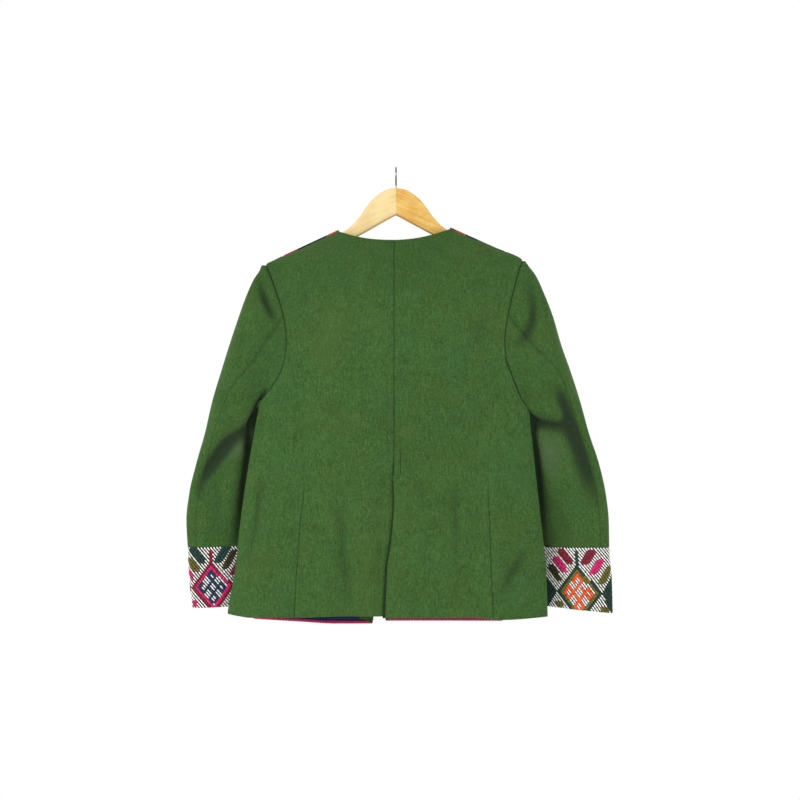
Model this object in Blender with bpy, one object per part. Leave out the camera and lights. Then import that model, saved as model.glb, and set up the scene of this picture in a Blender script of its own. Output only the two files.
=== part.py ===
"""A green wool jacket with embroidered cuffs, hanging by its shoulders on a two-part wooden hanger.

Seen from behind, +X is to the right, +Z is up, and the front of the jacket faces +Y. The origin is the
inside of the top of the hanger's hook. Each piece that is cut and sewn is one wall of cloth: its points
lie on the outer form of the jacket, and its inner side lies the cloth's thickness further in.
All sizes are in millimetres, and the meshes are made in metres.
"""

import collections
import math

import bmesh
import bpy
import numpy as np

MM = 0.001
COLLECTION = "wool_jacket_on_hanger"

# Sides, as signs of X, and faces, as signs of Y
LEFT, RIGHT = -1, 1
BACK, FRONT = -1, 1
SIDE_NAMES = {LEFT: "left", RIGHT: "right"}

# Cloth and seams
WOOL_THICKNESS = 2.0
CUFF_THICKNESS = 2.6
CUFF_PROUD = 0.8
FACING_THICKNESS = 1.0
FACING_WIDTH = 22.0
FACING_CLEARANCE = 0.5
FACING_INSET = 1.0
FACING_STEPS = 2
SEAM_GAP = 0.3

# The form of the body: half widths from the hook's line, depths behind and in front of it, and how far
# the side seams sit forward of it, at distances down from the hook
BODY_COLUMNS = ("down", "left", "right", "back", "front", "side_y")
BODY_SECTIONS = (
    (60, 10, 14, 15, 15, 0),
    (80, 53, 57, 17, 17, 0),
    (98, 92, 96, 19, 19, 0),
    (125, 150, 156, 24, 24, 0),
    (146, 194, 202, 27.5, 27.5, 0),
    (154, 208, 206, 28.5, 28.5, 0),
    (200, 212, 209, 31, 30, -1),
    (372, 218, 213, 36, 32, -4),
    (405, 224, 215, 36, 32, -4),
    (480, 237, 223, 35, 32, -4),
    (556, 248, 231, 36, 33, -4),
    (636, 257, 240, 38, 34, -4),
    (713, 270, 243, 40, 36, -4),
    (740, 273, 244, 40, 36, -4),
)

# How late towards the sides that lean sets in
LEAN_POWER = 3

# The armhole: its top on the shoulder ridge, its lowest point at the side seam, and how far its line
# lies inside the straight line between them
ARM_TOP_DOWN = {LEFT: 154.5, RIGHT: 147.0}
UNDERARM_DOWN = {LEFT: 372.0, RIGHT: 383.0}
ARMHOLE_COLUMNS = ("share", "left", "right")
ARMHOLE_INSET = (
    (0.0, 0, 0),
    (0.06, 6, 6),
    (0.18, 17, 15),
    (0.34, 30, 26),
    (0.48, 37, 33),
    (0.58, 39, 35),
    (0.67, 38, 33.5),
    (0.75, 34.5, 28),
    (0.84, 25, 20.5),
    (0.93, 13, 12.5),
    (1.0, 0, 0),
)
# The search for the shoulder ridge: how far below the armhole's top it looks, and how often it halves
RIDGE_MARGIN = 5.0
RIDGE_HALVINGS = 30

# Angles round the armhole from the shoulder seam to the back panel seam and on to the underarm
ARM_SEAM_ANGLE = 11.0
ARM_RIDGE_ANGLE = 5.5
ARM_PANEL_ANGLE = 108.0
ARM_HIGH_STEPS = 6
ARM_LOW_STEPS = 5

# Seams of the back, as distances from the hook's line at distances down
BACK_SEAM_COLUMNS = ("down", "left", "right")
BACK_SEAM = (
    (297, 177, 175),
    (325, 165, 165),
    (356, 158, 158.5),
    (430, 151, 151),
    (514, 147, 147),
    (562, 152, 149),
    (626, 157, 151),
    (713, 162, 155),
)
CENTRE_BACK = -3.0
BACK_NECK_DOWN = 115.0
BACK_NECK_ROUND = {LEFT: 2.3, RIGHT: 1.95}
NECK_OUT = {LEFT: 92.0, RIGHT: 87.0}
FRONT_PANEL_TOP_OUT = {LEFT: 181.0, RIGHT: 175.0}

# The vent below the centre back seam: the right panel laps over the left one
VENT_COLUMNS = ("down", "over_x", "under_x", "under_push", "over_lift")
VENT_EDGES = (
    (455, -3.0, -3.0, 0.0, 0.0),
    (488, -3.0, -3.0, 2.8, 0.3),
    (520, -4.5, 24.0, 3.2, 0.8),
    (569, -6.4, 26.0, 3.6, 1.4),
    (600, -9.6, 26.0, 4.0, 1.8),
    (637, -15.2, 26.0, 4.4, 2.0),
    (676, -17.6, 26.0, 4.6, 2.0),
    (720, -19.2, 26.0, 4.8, 2.0),
)
VENT_PUSH_SPREAD = 45.0

# Hems, as distances down at places across
HEM_COLUMNS = ("x", "down")
BACK_HEM = {
    LEFT: ((-270, 712), (-250, 715.5), (-232, 717.5), (-162, 717), (-90, 714.5), (30, 714.5)),
    RIGHT: ((-25, 717), (120, 717), (171, 720.5), (243, 716.5)),
}
FRONT_HEM = {
    LEFT: ((-270, 712), (-229, 713.5), (-153, 719), (-96, 725.5), (-30, 725.5)),
    RIGHT: ((-20, 719), (171, 718.5), (243, 716.5)),
}

# The fronts: the seam between the textile and the wool, the open edge and the neckline
FRONT_SEAM_COLUMNS = ("down", "left", "right")
FRONT_SEAM = (
    (140, 183, 177),
    (200, 168, 163),
    (290, 150, 145),
    (380, 160, 148),
    (500, 188, 158),
    (620, 213, 167),
    (722, 229, 171),
)
# How far below the ridge the front seam leaves its place on the shoulder
FRONT_SEAM_TURN = 7.0
FRONT_EDGE_COLUMNS = ("down", "left", "right")
FRONT_EDGE = (
    (102, -92, 87),
    (130, -86, 81),
    (165, -73, 68),
    (200, -54, 49),
    (230, -31, 26),
    (252, -8, 4),
    (480, -20, -5),
    (728, -37, -18),
)
FRONT_NECK_DOWN = 252.0
FRONT_OPEN_STEPS = 16

# The magenta cord along the lower edge of each textile front
EDGE_CORD_RADIUS = 2.4
EDGE_CORD_BELOW = 2.9
EDGE_CORD_FORWARD = 0.3
EDGE_CORD_STEPS = 10
FACING_CORNER_DROP = 4.0

# Rows and columns of the panels
SIDE_STEPS = 14
NECK_STEPS = 4
SHOULDER_WOOL_STEPS = 4
SHOULDER_TEXTILE_STEPS = 5

# Soft vertical folds of the back: where they stand, how far they reach, and how proud they are
FOLD_COLUMNS = ("x", "top", "bottom", "width", "height")
BACK_FOLDS = (
    (-78, 500, 720, 16, -3.0),
    (-100, 520, 720, 14, 2.0),
    (-226, 460, 700, 12, 2.5),
    (-200, 480, 700, 11, -2.0),
    (95, 480, 600, 14, 2.0),
    (118, 470, 680, 15, -2.0),
    (175, 560, 700, 14, 2.5),
)
FOLD_FADE = 60.0

# The share of the half width up to which the form counts as flat when points are laid on it
SETTLE_FLAT = 0.85

# The sleeves: for shares of their length, the outer and inner edges, the depth of the section and how
# flat it is. The rows are the same for both sides but for their edges.
SLEEVE_COLUMNS = (
    "share", "outer_y", "inner_y", "half_depth",
    "left_outer", "left_outer_down", "left_inner", "left_inner_down",
    "right_outer", "right_outer_down", "right_inner", "right_inner_down",
)
SLEEVE_SECTIONS = (
    (0.00, 0, 0, 24, 210, 155, 219, 376, 208, 148, 215, 387),
    (0.06, 0, 5, 30, 226, 173, 230, 381, 226, 170, 226, 391),
    (0.12, 1, 12, 34, 240, 203, 230, 388, 239.5, 201, 223, 398),
    (0.20, 3, 22, 36, 253, 240, 222, 400, 252, 236, 215, 410),
    (0.30, 5, 32, 37, 267, 283, 217, 418, 264, 280, 209, 428),
    (0.40, 7, 38, 36, 280, 325, 215, 443, 280, 326, 207, 450),
    (0.50, 9, 42, 33, 294, 372, 215, 470, 295, 373, 208, 476),
    (0.60, 10, 45, 29, 306, 424, 217, 503, 309, 424, 211, 506),
    (0.70, 11, 46, 26, 320, 473, 220, 536, 325, 472, 217, 538),
    (0.80, 12, 46, 23, 331, 519, 224, 568, 336, 520, 223, 569),
    (0.90, 13, 45, 20, 336, 563, 227, 592, 341, 563, 229, 592),
    (1.00, 14, 43, 17, 334, 607, 229, 604, 342, 607, 234, 607),
)
CUFF_SECTIONS = (
    (0.0, 14, 43, 17, 334, 607, 229, 604, 342, 607, 234, 607),
    (0.5, 14, 42, 16, 331, 656, 226, 652, 345.5, 657, 237, 655),
    (1.0, 14, 41, 16, 327, 704, 221, 700, 347, 712, 240, 702),
)
SLEEVE_STEPS = 13
SLEEVE_LENGTH = 460.0
SLEEVE_GIRTH = 280.0
CUFF_STEPS = 3
ARMHOLE_BLEND = 0.34
SLEEVE_ROUND = 2.3

# The back and front seams of a two-piece sleeve, as angles round it from the outer edge
SLEEVE_SEAM_COLUMNS = ("share", "back", "front")
SLEEVE_SEAMS = (
    (0.0, 76.7, 237.6),
    (0.15, 70, 236),
    (0.3, 60, 235),
    (0.45, 47, 235),
    (0.6, 40, 235),
    (1.0, 38, 235),
)

# Large soft hollows of the sleeves: each runs from one place to another, given as share and angle
HOLLOW_COLUMNS = ("start_share", "start_angle", "end_share", "end_angle", "width", "depth")
HOLLOW_ENDS = 0.15
SLEEVE_HOLLOWS = {
    LEFT: ((0.46, 128, 0.78, 62, 10, 3.5), (0.10, 30, 0.26, 64, 9, 2.0)),
    RIGHT: ((0.34, 112, 0.60, 70, 11, 5.0), (0.66, 60, 0.80, 50, 10, 3.5), (0.10, 26, 0.24, 60, 9, 2.0)),
}

# The hanger: the neck of the wood, then arms that follow the shoulders from below
HANGER_NECK_COLUMNS = ("out", "top", "bottom")
HANGER_NECK = (
    (0, 31.2, 75.4),
    (8, 32, 79.4),
    (18, 35, 85),
    (28, 41.5, 90.8),
    (38, 50, 96.5),
    (48, 62.5, 102.2),
    (60, 79.5, 109),
    (74, 94.5, 117),
    (92, 107, 126),
)
HANGER_ARM_COLUMNS = ("out", "below_ridge", "height", "thickness")
HANGER_ARM = (
    (0, 8.6, 19, 12),
    (92, 8.6, 19, 10),
    (112, 6.0, 18.5, 10),
    (132, 3.6, 18, 9.5),
    (150, 2.9, 17, 9),
    (172, 2.9, 15.5, 8.5),
    (184, 3.2, 13.5, 8),
    (193, 5.0, 9, 6),
)
HANGER_SQUARE = 3.6
HANGER_RING_POINTS = 14
HANGER_NECK_STEPS = 10
HANGER_ARM_STEPS = 7
HOOK_WIRE_RADIUS = 1.5
HOOK_LOOP_RADIUS = 12.5
HOOK_BEND_RADIUS = 5.0
HOOK_HOLE_RADIUS = 1.8
HOOK_HOLE_DOWN = 50.0
HOOK_HOLE_SIDES = 16
HOOK_END_ANGLE = -378.0
HOOK_ARC_STEPS = 26
HOOK_BEND_STEPS = 5

# Angle past which an edge stays sharp, and how finely tubes are rounded
SHARP_ANGLE = 50.0
TUBE_RESOLUTION = 2

# Colours, roughness and metallic values
FINISHES = {
    "green_wool": ((0.065, 0.16, 0.045), 0.95, 0.0),
    "textile": ((0.03, 0.04, 0.11), 0.9, 0.0),
    "embroidery": ((0.75, 0.68, 0.58), 0.85, 0.0),
    "edge_cord": ((0.6, 0.02, 0.14), 0.8, 0.0),
    "pale_wood": ((0.86, 0.66, 0.36), 0.45, 0.0),
    "warm_wood": ((0.82, 0.5, 0.16), 0.45, 0.0),
    "steel": ((0.6, 0.6, 0.6), 0.25, 1.0),
}


# A point of the armhole seam: its number round the seam, where it is, the direction out of the cloth there,
# which way the seam runs, and which way an edge draws back from it
Rim = collections.namedtuple("Rim", ("number", "point", "normal", "along", "shift"))


def read(rows, columns, name, at):
    """One column of a table at any value of its first one, on a smooth curve that doesn't overshoot."""
    keys = np.array([row[0] for row in rows], float)
    values = np.array([row[columns.index(name)] for row in rows], float)
    steps = np.diff(keys)
    slopes = np.diff(values) / steps
    turns = slopes[:-1] * slopes[1:]
    sums = slopes[:-1] + slopes[1:]
    inner = np.where(turns > 0, 2 * turns / np.where(sums == 0, 1, sums), 0)
    tangents = np.concatenate(([slopes[0]], inner, [slopes[-1]]))
    at = min(max(at, keys[0]), keys[-1])
    i = min(int(np.searchsorted(keys, at, side="right")) - 1, len(steps) - 1)
    t = (at - keys[i]) / steps[i]
    start = (1 + 2 * t) * (1 - t) ** 2 * values[i] + t * (1 - t) ** 2 * steps[i] * tangents[i]
    end = t * t * (3 - 2 * t) * values[i + 1] + t * t * (t - 1) * steps[i] * tangents[i + 1]
    return float(start + end)


def smooth_step(t):
    t = min(max(t, 0.0), 1.0)
    return t * t * (3 - 2 * t)


def section(name, down):
    return read(BODY_SECTIONS, BODY_COLUMNS, name, down)


def side_of(x):
    return LEFT if x < 0 else RIGHT


def half_width(side, down):
    return section(SIDE_NAMES[side], down)


def ridge_down(side, out):
    """How far down the shoulder ridge lies at a distance from the hook's line."""
    low, high = BODY_SECTIONS[0][0], ARM_TOP_DOWN[side] + RIDGE_MARGIN
    for _ in range(RIDGE_HALVINGS):
        middle = (low + high) / 2
        if half_width(side, middle) < out:
            low = middle
        else:
            high = middle
    return (low + high) / 2


def fold_height(x, down):
    """How far the soft folds lift the back at a place."""
    height = 0.0
    for row in BACK_FOLDS:
        fold = dict(zip(FOLD_COLUMNS, row))
        fade = smooth_step((down - fold["top"]) / FOLD_FADE)
        fade *= smooth_step((fold["bottom"] - down) / FOLD_FADE + 1)
        height += fold["height"] * fade * math.exp(-(((x - fold["x"]) / fold["width"]) ** 2))
    return height


def on_form(x, down, face):
    """The point of the outer cloth at a place across and down, on the back or on the front."""
    width = half_width(side_of(x), down)
    reach = min(abs(x) / width, 1.0)
    depth = section("back" if face == BACK else "front", down)
    y = face * depth * math.sqrt(1 - reach**2) + section("side_y", down) * reach**LEAN_POWER
    if face == BACK:
        y -= fold_height(x, down) * math.sqrt(1 - reach**2)
    return np.array((x, y, -down))


def settle(point):
    """A point near the form, moved onto it: square to the hanger, but near the side seams straight outwards."""
    x, y, down = point[0], point[1], -point[2]
    width = half_width(side_of(x), down)
    lean = section("side_y", down) * min(abs(x) / width, 1.0) ** LEAN_POWER
    face = BACK if y < lean else FRONT
    depth = section("back" if face == BACK else "front", down)
    outward = smooth_step((abs(x) / width - SETTLE_FLAT) / (1 - SETTLE_FLAT))
    scale = 1 / math.hypot(x / width, (y - lean) / depth)
    return on_form(x * (1 + outward * (scale - 1)), down, face)


def form_normal(point):
    """The direction out of the form, from the slope of its sections."""
    x, y, down = point[0], point[1], -point[2]
    side = side_of(x)
    width = half_width(side, down)
    lean = section("side_y", down) * min(abs(x) / width, 1.0) ** LEAN_POWER
    name = "back" if y < lean else "front"
    depth = section(name, down)
    step = 1.0
    width_slope = (half_width(side, down + step) - half_width(side, down - step)) / (2 * step)
    depth_slope = (section(name, down + step) - section(name, down - step)) / (2 * step)
    fall = x**2 * width_slope / width**3 + (y - lean) ** 2 * depth_slope / depth**3
    normal = np.array((x / width**2, (y - lean) / depth**2, fall))
    return normal / np.linalg.norm(normal)


def armhole_point(side, angle):
    """A point of the armhole seam. The angle runs from the shoulder down the back, under the arm and up."""
    angle = (angle + 180) % 360 - 180
    share = (1 - math.cos(math.radians(angle))) / 2
    top, bottom = ARM_TOP_DOWN[side], UNDERARM_DOWN[side]
    down = top + share * (bottom - top)
    line = half_width(side, top) + share * (half_width(side, bottom) - half_width(side, top))
    out = line - read(ARMHOLE_INSET, ARMHOLE_COLUMNS, SIDE_NAMES[side], share)
    out = min(out, half_width(side, down))
    return on_form(side * out, down, BACK if angle >= 0 else FRONT)


def angles_between(start, end, steps):
    return [start + (end - start) * i / steps for i in range(steps + 1)]


def armhole_angles():
    """The angles of the points round an armhole, once round from the top of the shoulder."""
    high = angles_between(ARM_SEAM_ANGLE, ARM_PANEL_ANGLE, ARM_HIGH_STEPS)
    low = angles_between(ARM_PANEL_ANGLE, 180, ARM_LOW_STEPS)
    back = high + low[1:]
    front = [360 - angle for angle in reversed(back[:-1])]
    return [0, ARM_RIDGE_ANGLE] + back + front + [360 - ARM_RIDGE_ANGLE]


def sleeve_angle(share, angle):
    """An angle round the armhole, carried down the sleeve so that the seams stay on their columns."""
    back = read(SLEEVE_SEAMS, SLEEVE_SEAM_COLUMNS, "back", share)
    front = read(SLEEVE_SEAMS, SLEEVE_SEAM_COLUMNS, "front", share)
    first = SLEEVE_SEAMS[0]
    return float(np.interp(angle, (0, first[1], 180, first[2], 360), (0, back, 180, front, 360)))


def ring_frame(rows, side, share):
    """The centre, long axis and depth of a sleeve's section."""
    name = SIDE_NAMES[side]

    def value(column):
        return read(rows, SLEEVE_COLUMNS, column, share)

    outer = np.array((side * value(name + "_outer"), value("outer_y"), -value(name + "_outer_down")))
    inner = np.array((side * value(name + "_inner"), value("inner_y"), -value(name + "_inner_down")))
    return (outer + inner) / 2, (outer - inner) / 2, value("half_depth")


def rounded(value):
    return math.copysign(abs(value) ** (2 / SLEEVE_ROUND), value)


def ring_point(rows, side, share, angle, proud=0.0):
    """A point of a sleeve's section, a rounded oblong: the outer edge is at 0 and the back at 90 degrees."""
    centre, long_axis, depth = ring_frame(rows, side, share)
    length = np.linalg.norm(long_axis)
    backward = np.array((0.0, BACK, 0.0))
    backward -= long_axis * np.dot(backward, long_axis) / length**2
    backward /= np.linalg.norm(backward)
    turn = math.radians(angle)
    along = long_axis * (1 + proud / length) * rounded(math.cos(turn))
    return centre + along + backward * (depth + proud) * rounded(math.sin(turn))


def hollow_depth(side, share, angle):
    """How far the soft hollows of a sleeve sink it at a place."""
    depth = 0.0
    for row in SLEEVE_HOLLOWS[side]:
        hollow = dict(zip(HOLLOW_COLUMNS, row))
        start = np.array((hollow["start_share"], hollow["start_angle"] / 360))
        end = np.array((hollow["end_share"], hollow["end_angle"] / 360))
        run, place = end - start, np.array((share, angle / 360)) - start
        along = min(max(np.dot(place, run) / np.dot(run, run), 0.0), 1.0)
        off = place - run * along
        distance = math.hypot(off[0] * SLEEVE_LENGTH, off[1] * SLEEVE_GIRTH)
        swell = math.sin(math.pi * (HOLLOW_ENDS + (1 - 2 * HOLLOW_ENDS) * along))
        depth += hollow["depth"] * swell * math.exp(-((distance / hollow["width"]) ** 2))
    return depth


def grid_normals(grid, closed):
    """The directions square to a grid of points, whose columns may close into a ring."""
    if closed:
        across = np.roll(grid, -1, axis=1) - np.roll(grid, 1, axis=1)
    else:
        across = np.gradient(grid, axis=1)
    normals = np.cross(across, np.gradient(grid, axis=0))
    return normals / np.linalg.norm(normals, axis=2, keepdims=True)


def sleeve_grid(side):
    """The outer points of a sleeve, a row for each ring from the armhole to the cuff, and their normals."""
    angles = armhole_angles()
    seam = np.array([armhole_point(side, angle) for angle in angles])
    start = np.array([ring_point(SLEEVE_SECTIONS, side, 0, angle) for angle in angles])
    rows = [seam]
    for step in range(1, SLEEVE_STEPS + 1):
        share = step / SLEEVE_STEPS
        hold = max(0.0, 1 - share / ARMHOLE_BLEND) ** 2
        row = []
        for column, angle in enumerate(angles):
            turned = sleeve_angle(share, angle)
            sunk = -hollow_depth(side, share, turned)
            point = ring_point(SLEEVE_SECTIONS, side, share, turned, sunk)
            row.append(point + (seam[column] - start[column]) * hold)
        rows.append(row)
    grid = np.array(rows)
    normals = grid_normals(grid, closed=True)
    middles = grid.mean(axis=1, keepdims=True)
    if ((grid - middles) * normals).sum() < 0:
        normals = -normals
    body = np.array([form_normal(point) for point in seam])
    shared = normals[0] + body
    normals[0] = shared / np.linalg.norm(shared, axis=1, keepdims=True)
    return grid, normals


def cuff_grid(side, angles):
    """The outer points of a cuff band, a row for each ring."""
    rows = []
    for step in range(CUFF_STEPS + 1):
        share = step / CUFF_STEPS
        turned = [sleeve_angle(1.0, angle) for angle in angles]
        rows.append([ring_point(CUFF_SECTIONS, side, share, angle, CUFF_PROUD) for angle in turned])
    return np.array(rows)


def shares_along(points):
    """How far along a line each of its points lies, from 0 to 1."""
    lengths = np.linalg.norm(np.diff(np.array(points), axis=0), axis=1)
    return np.concatenate(([0.0], np.cumsum(lengths))) / lengths.sum()


def between(start, end, steps):
    return np.linspace(start, end, steps + 1)


def hem_down(rows, x):
    return read(rows, HEM_COLUMNS, "down", x)


def back_seam(side):
    """The seam between the centre back and the side back, from the hem up to the armhole."""
    name = SIDE_NAMES[side]
    junction = armhole_point(side, ARM_PANEL_ANGLE)
    hem_out = BACK_SEAM[-1][BACK_SEAM_COLUMNS.index(name)]
    points = []
    for down in between(hem_down(BACK_HEM[side], side * hem_out), -junction[2], SIDE_STEPS)[:-1]:
        points.append(on_form(side * read(BACK_SEAM, BACK_SEAM_COLUMNS, name, down), down, BACK))
    return points + [junction]


def side_seam(side):
    """The side seam, from the hem up to the underarm."""
    bottom = BACK_HEM[side][0 if side == LEFT else -1][1]
    underarm = armhole_point(side, 180)
    points = []
    for down in between(bottom, -underarm[2], SIDE_STEPS)[:-1]:
        points.append(on_form(side * half_width(side, down), down, BACK))
    return points + [underarm]


def round_hem(side, face, inner_x, steps):
    """The hem from the side seam round to a seam of the back or front."""
    rows = BACK_HEM[side] if face == BACK else FRONT_HEM[side]
    side_down = BACK_HEM[side][0 if side == LEFT else -1][1]
    width = half_width(side, side_down)
    end = math.acos(abs(inner_x) / half_width(side, hem_down(rows, inner_x)))
    points = []
    for angle in between(0.0, end, steps):
        x = side * width * math.cos(angle)
        points.append(on_form(x, hem_down(rows, x), face))
    points[-1] = on_form(inner_x, hem_down(rows, inner_x), face)
    return points


def front_seam_point(side, angle):
    """A point of the front seam, by the angle of the armhole point that lies level with it."""
    share = (1 - math.cos(math.radians(angle))) / 2
    top = ridge_down(side, FRONT_PANEL_TOP_OUT[side])
    down = top + share * (UNDERARM_DOWN[side] - top)
    if down - top < FRONT_SEAM_TURN:
        out = FRONT_PANEL_TOP_OUT[side]
    else:
        out = read(FRONT_SEAM, FRONT_SEAM_COLUMNS, SIDE_NAMES[side], down)
    return on_form(side * out, down, BACK if math.sin(math.radians(angle)) > 0 else FRONT)


def neck_point(side, angle):
    """A point of the neck edge where it goes over the shoulder ridge."""
    share = (1 - math.cos(math.radians(angle))) / 2
    top = ridge_down(side, NECK_OUT[side])
    down = top + share * (UNDERARM_DOWN[side] - top)
    return on_form(side * NECK_OUT[side], down, BACK if math.sin(math.radians(angle)) > 0 else FRONT)


def shoulder_seam(side):
    """The shoulder seam, which lies just behind the ridge, from the armhole to the neck."""
    corners = (
        armhole_point(side, ARM_SEAM_ANGLE),
        front_seam_point(side, ARM_SEAM_ANGLE),
        neck_point(side, ARM_SEAM_ANGLE),
    )
    points = []
    for start, end, steps in ((0, 1, SHOULDER_WOOL_STEPS), (1, 2, SHOULDER_TEXTILE_STEPS)):
        first, last = corners[start], corners[end]
        first_drop = -first[2] - ridge_down(side, abs(first[0]))
        last_drop = -last[2] - ridge_down(side, abs(last[0]))
        for share in between(0.0, 1.0, steps)[:-1]:
            x = first[0] + (last[0] - first[0]) * share
            drop = first_drop + (last_drop - first_drop) * share
            points.append(on_form(x, ridge_down(side, abs(x)) + drop, BACK))
    return points + [corners[-1]]


def back_neckline(side):
    """The back neckline, from the shoulder seam to the centre back."""
    corner = neck_point(side, ARM_SEAM_ANGLE)
    reach = corner[0] - CENTRE_BACK
    points = []
    for share in between(1.0, 0.0, NECK_STEPS):
        rise = (BACK_NECK_DOWN + corner[2]) * share ** BACK_NECK_ROUND[side]
        points.append(on_form(CENTRE_BACK + reach * share, BACK_NECK_DOWN - rise, BACK))
    points[0] = corner
    return points


def centre_back(side, lower_steps, upper_steps):
    """The inner edge of a centre back panel, from the hem up to the neckline, with its vent extension."""
    column = "under_x" if side == LEFT else "over_x"
    hem_x = read(VENT_EDGES, VENT_COLUMNS, column, VENT_EDGES[-1][0])
    level = -armhole_point(side, ARM_PANEL_ANGLE)[2]
    downs = list(between(hem_down(BACK_HEM[side], hem_x), level, lower_steps)[:-1])
    downs += list(between(level, BACK_NECK_DOWN, upper_steps))
    return [on_form(read(VENT_EDGES, VENT_COLUMNS, column, down), down, BACK) for down in downs]


def vent_shift(side, point):
    """How far a centre back panel is pushed in or lifted where the two lap at the vent."""
    x, down = point[0], -point[2]
    if side == LEFT:
        near = smooth_step(1 - max(0.0, CENTRE_BACK - x) / VENT_PUSH_SPREAD)
        return near * read(VENT_EDGES, VENT_COLUMNS, "under_push", down)
    edge = read(VENT_EDGES, VENT_COLUMNS, "over_x", down)
    near = smooth_step(1 - max(0.0, x - edge) / VENT_PUSH_SPREAD)
    return -near * read(VENT_EDGES, VENT_COLUMNS, "over_lift", down)


def panel(bottom, top, outer, inner):
    """A grid of points between four edges, settled onto the form inside them. Rows run from the hem up."""
    bottom, top, outer, inner = (np.array(edge) for edge in (bottom, top, outer, inner))
    rows, columns = len(outer), len(bottom)
    over_bottom, over_top = shares_along(bottom), shares_along(top)
    grid = np.empty((rows, columns, 3))
    for i in range(rows):
        up = i / (rows - 1)
        for j in range(columns):
            across = (1 - up) * over_bottom[j] + up * over_top[j]
            corners = (1 - up) * ((1 - across) * bottom[0] + across * bottom[-1])
            corners = corners + up * ((1 - across) * top[0] + across * top[-1])
            sides = (1 - across) * outer[i] + across * inner[i]
            ends = (1 - up) * bottom[j] + up * top[j]
            grid[i, j] = sides + ends - corners
            if 0 < i < rows - 1 and 0 < j < columns - 1:
                grid[i, j] = settle(grid[i, j])
    return grid


def straight_hem(rows, outer_x, inner_x, shares, face):
    """A hem between two seams, with its points at given shares of the way."""
    points = []
    for share in shares:
        x = outer_x + (inner_x - outer_x) * share
        points.append(on_form(x, hem_down(rows, x), face))
    return points


def back_panel(side):
    high = list(reversed(angles_between(ARM_SEAM_ANGLE, ARM_PANEL_ANGLE, ARM_HIGH_STEPS)))
    outer = back_seam(side) + [armhole_point(side, angle) for angle in high[1:]]
    inner = centre_back(side, SIDE_STEPS, ARM_HIGH_STEPS)
    top = shoulder_seam(side) + back_neckline(side)[1:]
    bottom = straight_hem(BACK_HEM[side], outer[0][0], inner[0][0], shares_along(top), BACK)
    inner[-1] = top[-1]
    return panel(bottom, top, outer, inner)


def side_back_panel(side):
    inner = back_seam(side)
    low = reversed(angles_between(ARM_PANEL_ANGLE, 180, ARM_LOW_STEPS))
    top = [armhole_point(side, angle) for angle in low]
    bottom = round_hem(side, BACK, inner[0][0], ARM_LOW_STEPS)
    return panel(bottom, top, side_seam(side), inner)


def ridge_angles():
    """The angles from the top of the front over the ridge to the shoulder seam."""
    return [360 + angle for angle in (-ARM_SEAM_ANGLE, -ARM_RIDGE_ANGLE, 0, ARM_RIDGE_ANGLE, ARM_SEAM_ANGLE)]


def front_angles():
    """The angles from the underarm up the front and over the ridge to the shoulder seam."""
    low = angles_between(180, 360 - ARM_PANEL_ANGLE, ARM_LOW_STEPS)
    high = angles_between(360 - ARM_PANEL_ANGLE, 360 - ARM_SEAM_ANGLE, ARM_HIGH_STEPS)
    return low[1:] + high[1:-1] + ridge_angles()


def front_seam(side):
    """The seam between the textile front and the side front, from the hem up and over the ridge."""
    name = SIDE_NAMES[side]
    hem_out = FRONT_SEAM[-1][FRONT_SEAM_COLUMNS.index(name)]
    points = []
    for down in between(hem_down(FRONT_HEM[side], side * hem_out), UNDERARM_DOWN[side], SIDE_STEPS):
        points.append(on_form(side * read(FRONT_SEAM, FRONT_SEAM_COLUMNS, name, down), down, FRONT))
    return points + [front_seam_point(side, angle) for angle in front_angles()]


def front_edge_x(side, down):
    return read(FRONT_EDGE, FRONT_EDGE_COLUMNS, SIDE_NAMES[side], down)


def front_edge(side):
    """The open edge of a front, from the hem up, along the neckline and over the ridge."""
    rows = SIDE_STEPS + ARM_LOW_STEPS + ARM_HIGH_STEPS
    hem = hem_down(FRONT_HEM[side], front_edge_x(side, FRONT_EDGE[-1][0]))
    top = -neck_point(side, 360 - ARM_SEAM_ANGLE)[2]
    downs = list(between(hem, FRONT_NECK_DOWN, FRONT_OPEN_STEPS)[:-1])
    downs += list(between(FRONT_NECK_DOWN, top, rows - FRONT_OPEN_STEPS)[:-1])
    points = [on_form(front_edge_x(side, down), down, FRONT) for down in downs]
    return points + [neck_point(side, angle) for angle in ridge_angles()]


def textile_front(side):
    outer, inner = front_seam(side), front_edge(side)
    top = shoulder_seam(side)[SHOULDER_WOOL_STEPS:]
    bottom = straight_hem(FRONT_HEM[side], outer[0][0], inner[0][0], shares_along(top), FRONT)
    return panel(bottom, top, outer, inner)


def side_front(side):
    inner = front_seam(side)
    outer = side_seam(side) + [armhole_point(side, angle) for angle in front_angles()]
    top = shoulder_seam(side)[: SHOULDER_WOOL_STEPS + 1]
    bottom = round_hem(side, FRONT, inner[0][0], SHOULDER_WOOL_STEPS)
    return panel(bottom, top, outer, inner)


def facing(side):
    """The green strip inside the open edge of a front, a little lower than the hem at its corner."""
    edge = front_edge(side)[: FRONT_OPEN_STEPS + 1]
    rows = []
    for place, point in enumerate(edge):
        row = []
        for share in between(0.0, 1.0, FACING_STEPS):
            x = point[0] + side * (FACING_INSET + FACING_WIDTH * share)
            drop = FACING_CORNER_DROP * (1 - 2 * share) if place == 0 else 0.0
            lain = on_form(x, -point[2], FRONT)
            row.append(lain - form_normal(lain) * (WOOL_THICKNESS + FACING_CLEARANCE) - (0, 0, drop))
        rows.append(row)
    return np.array(rows)


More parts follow.
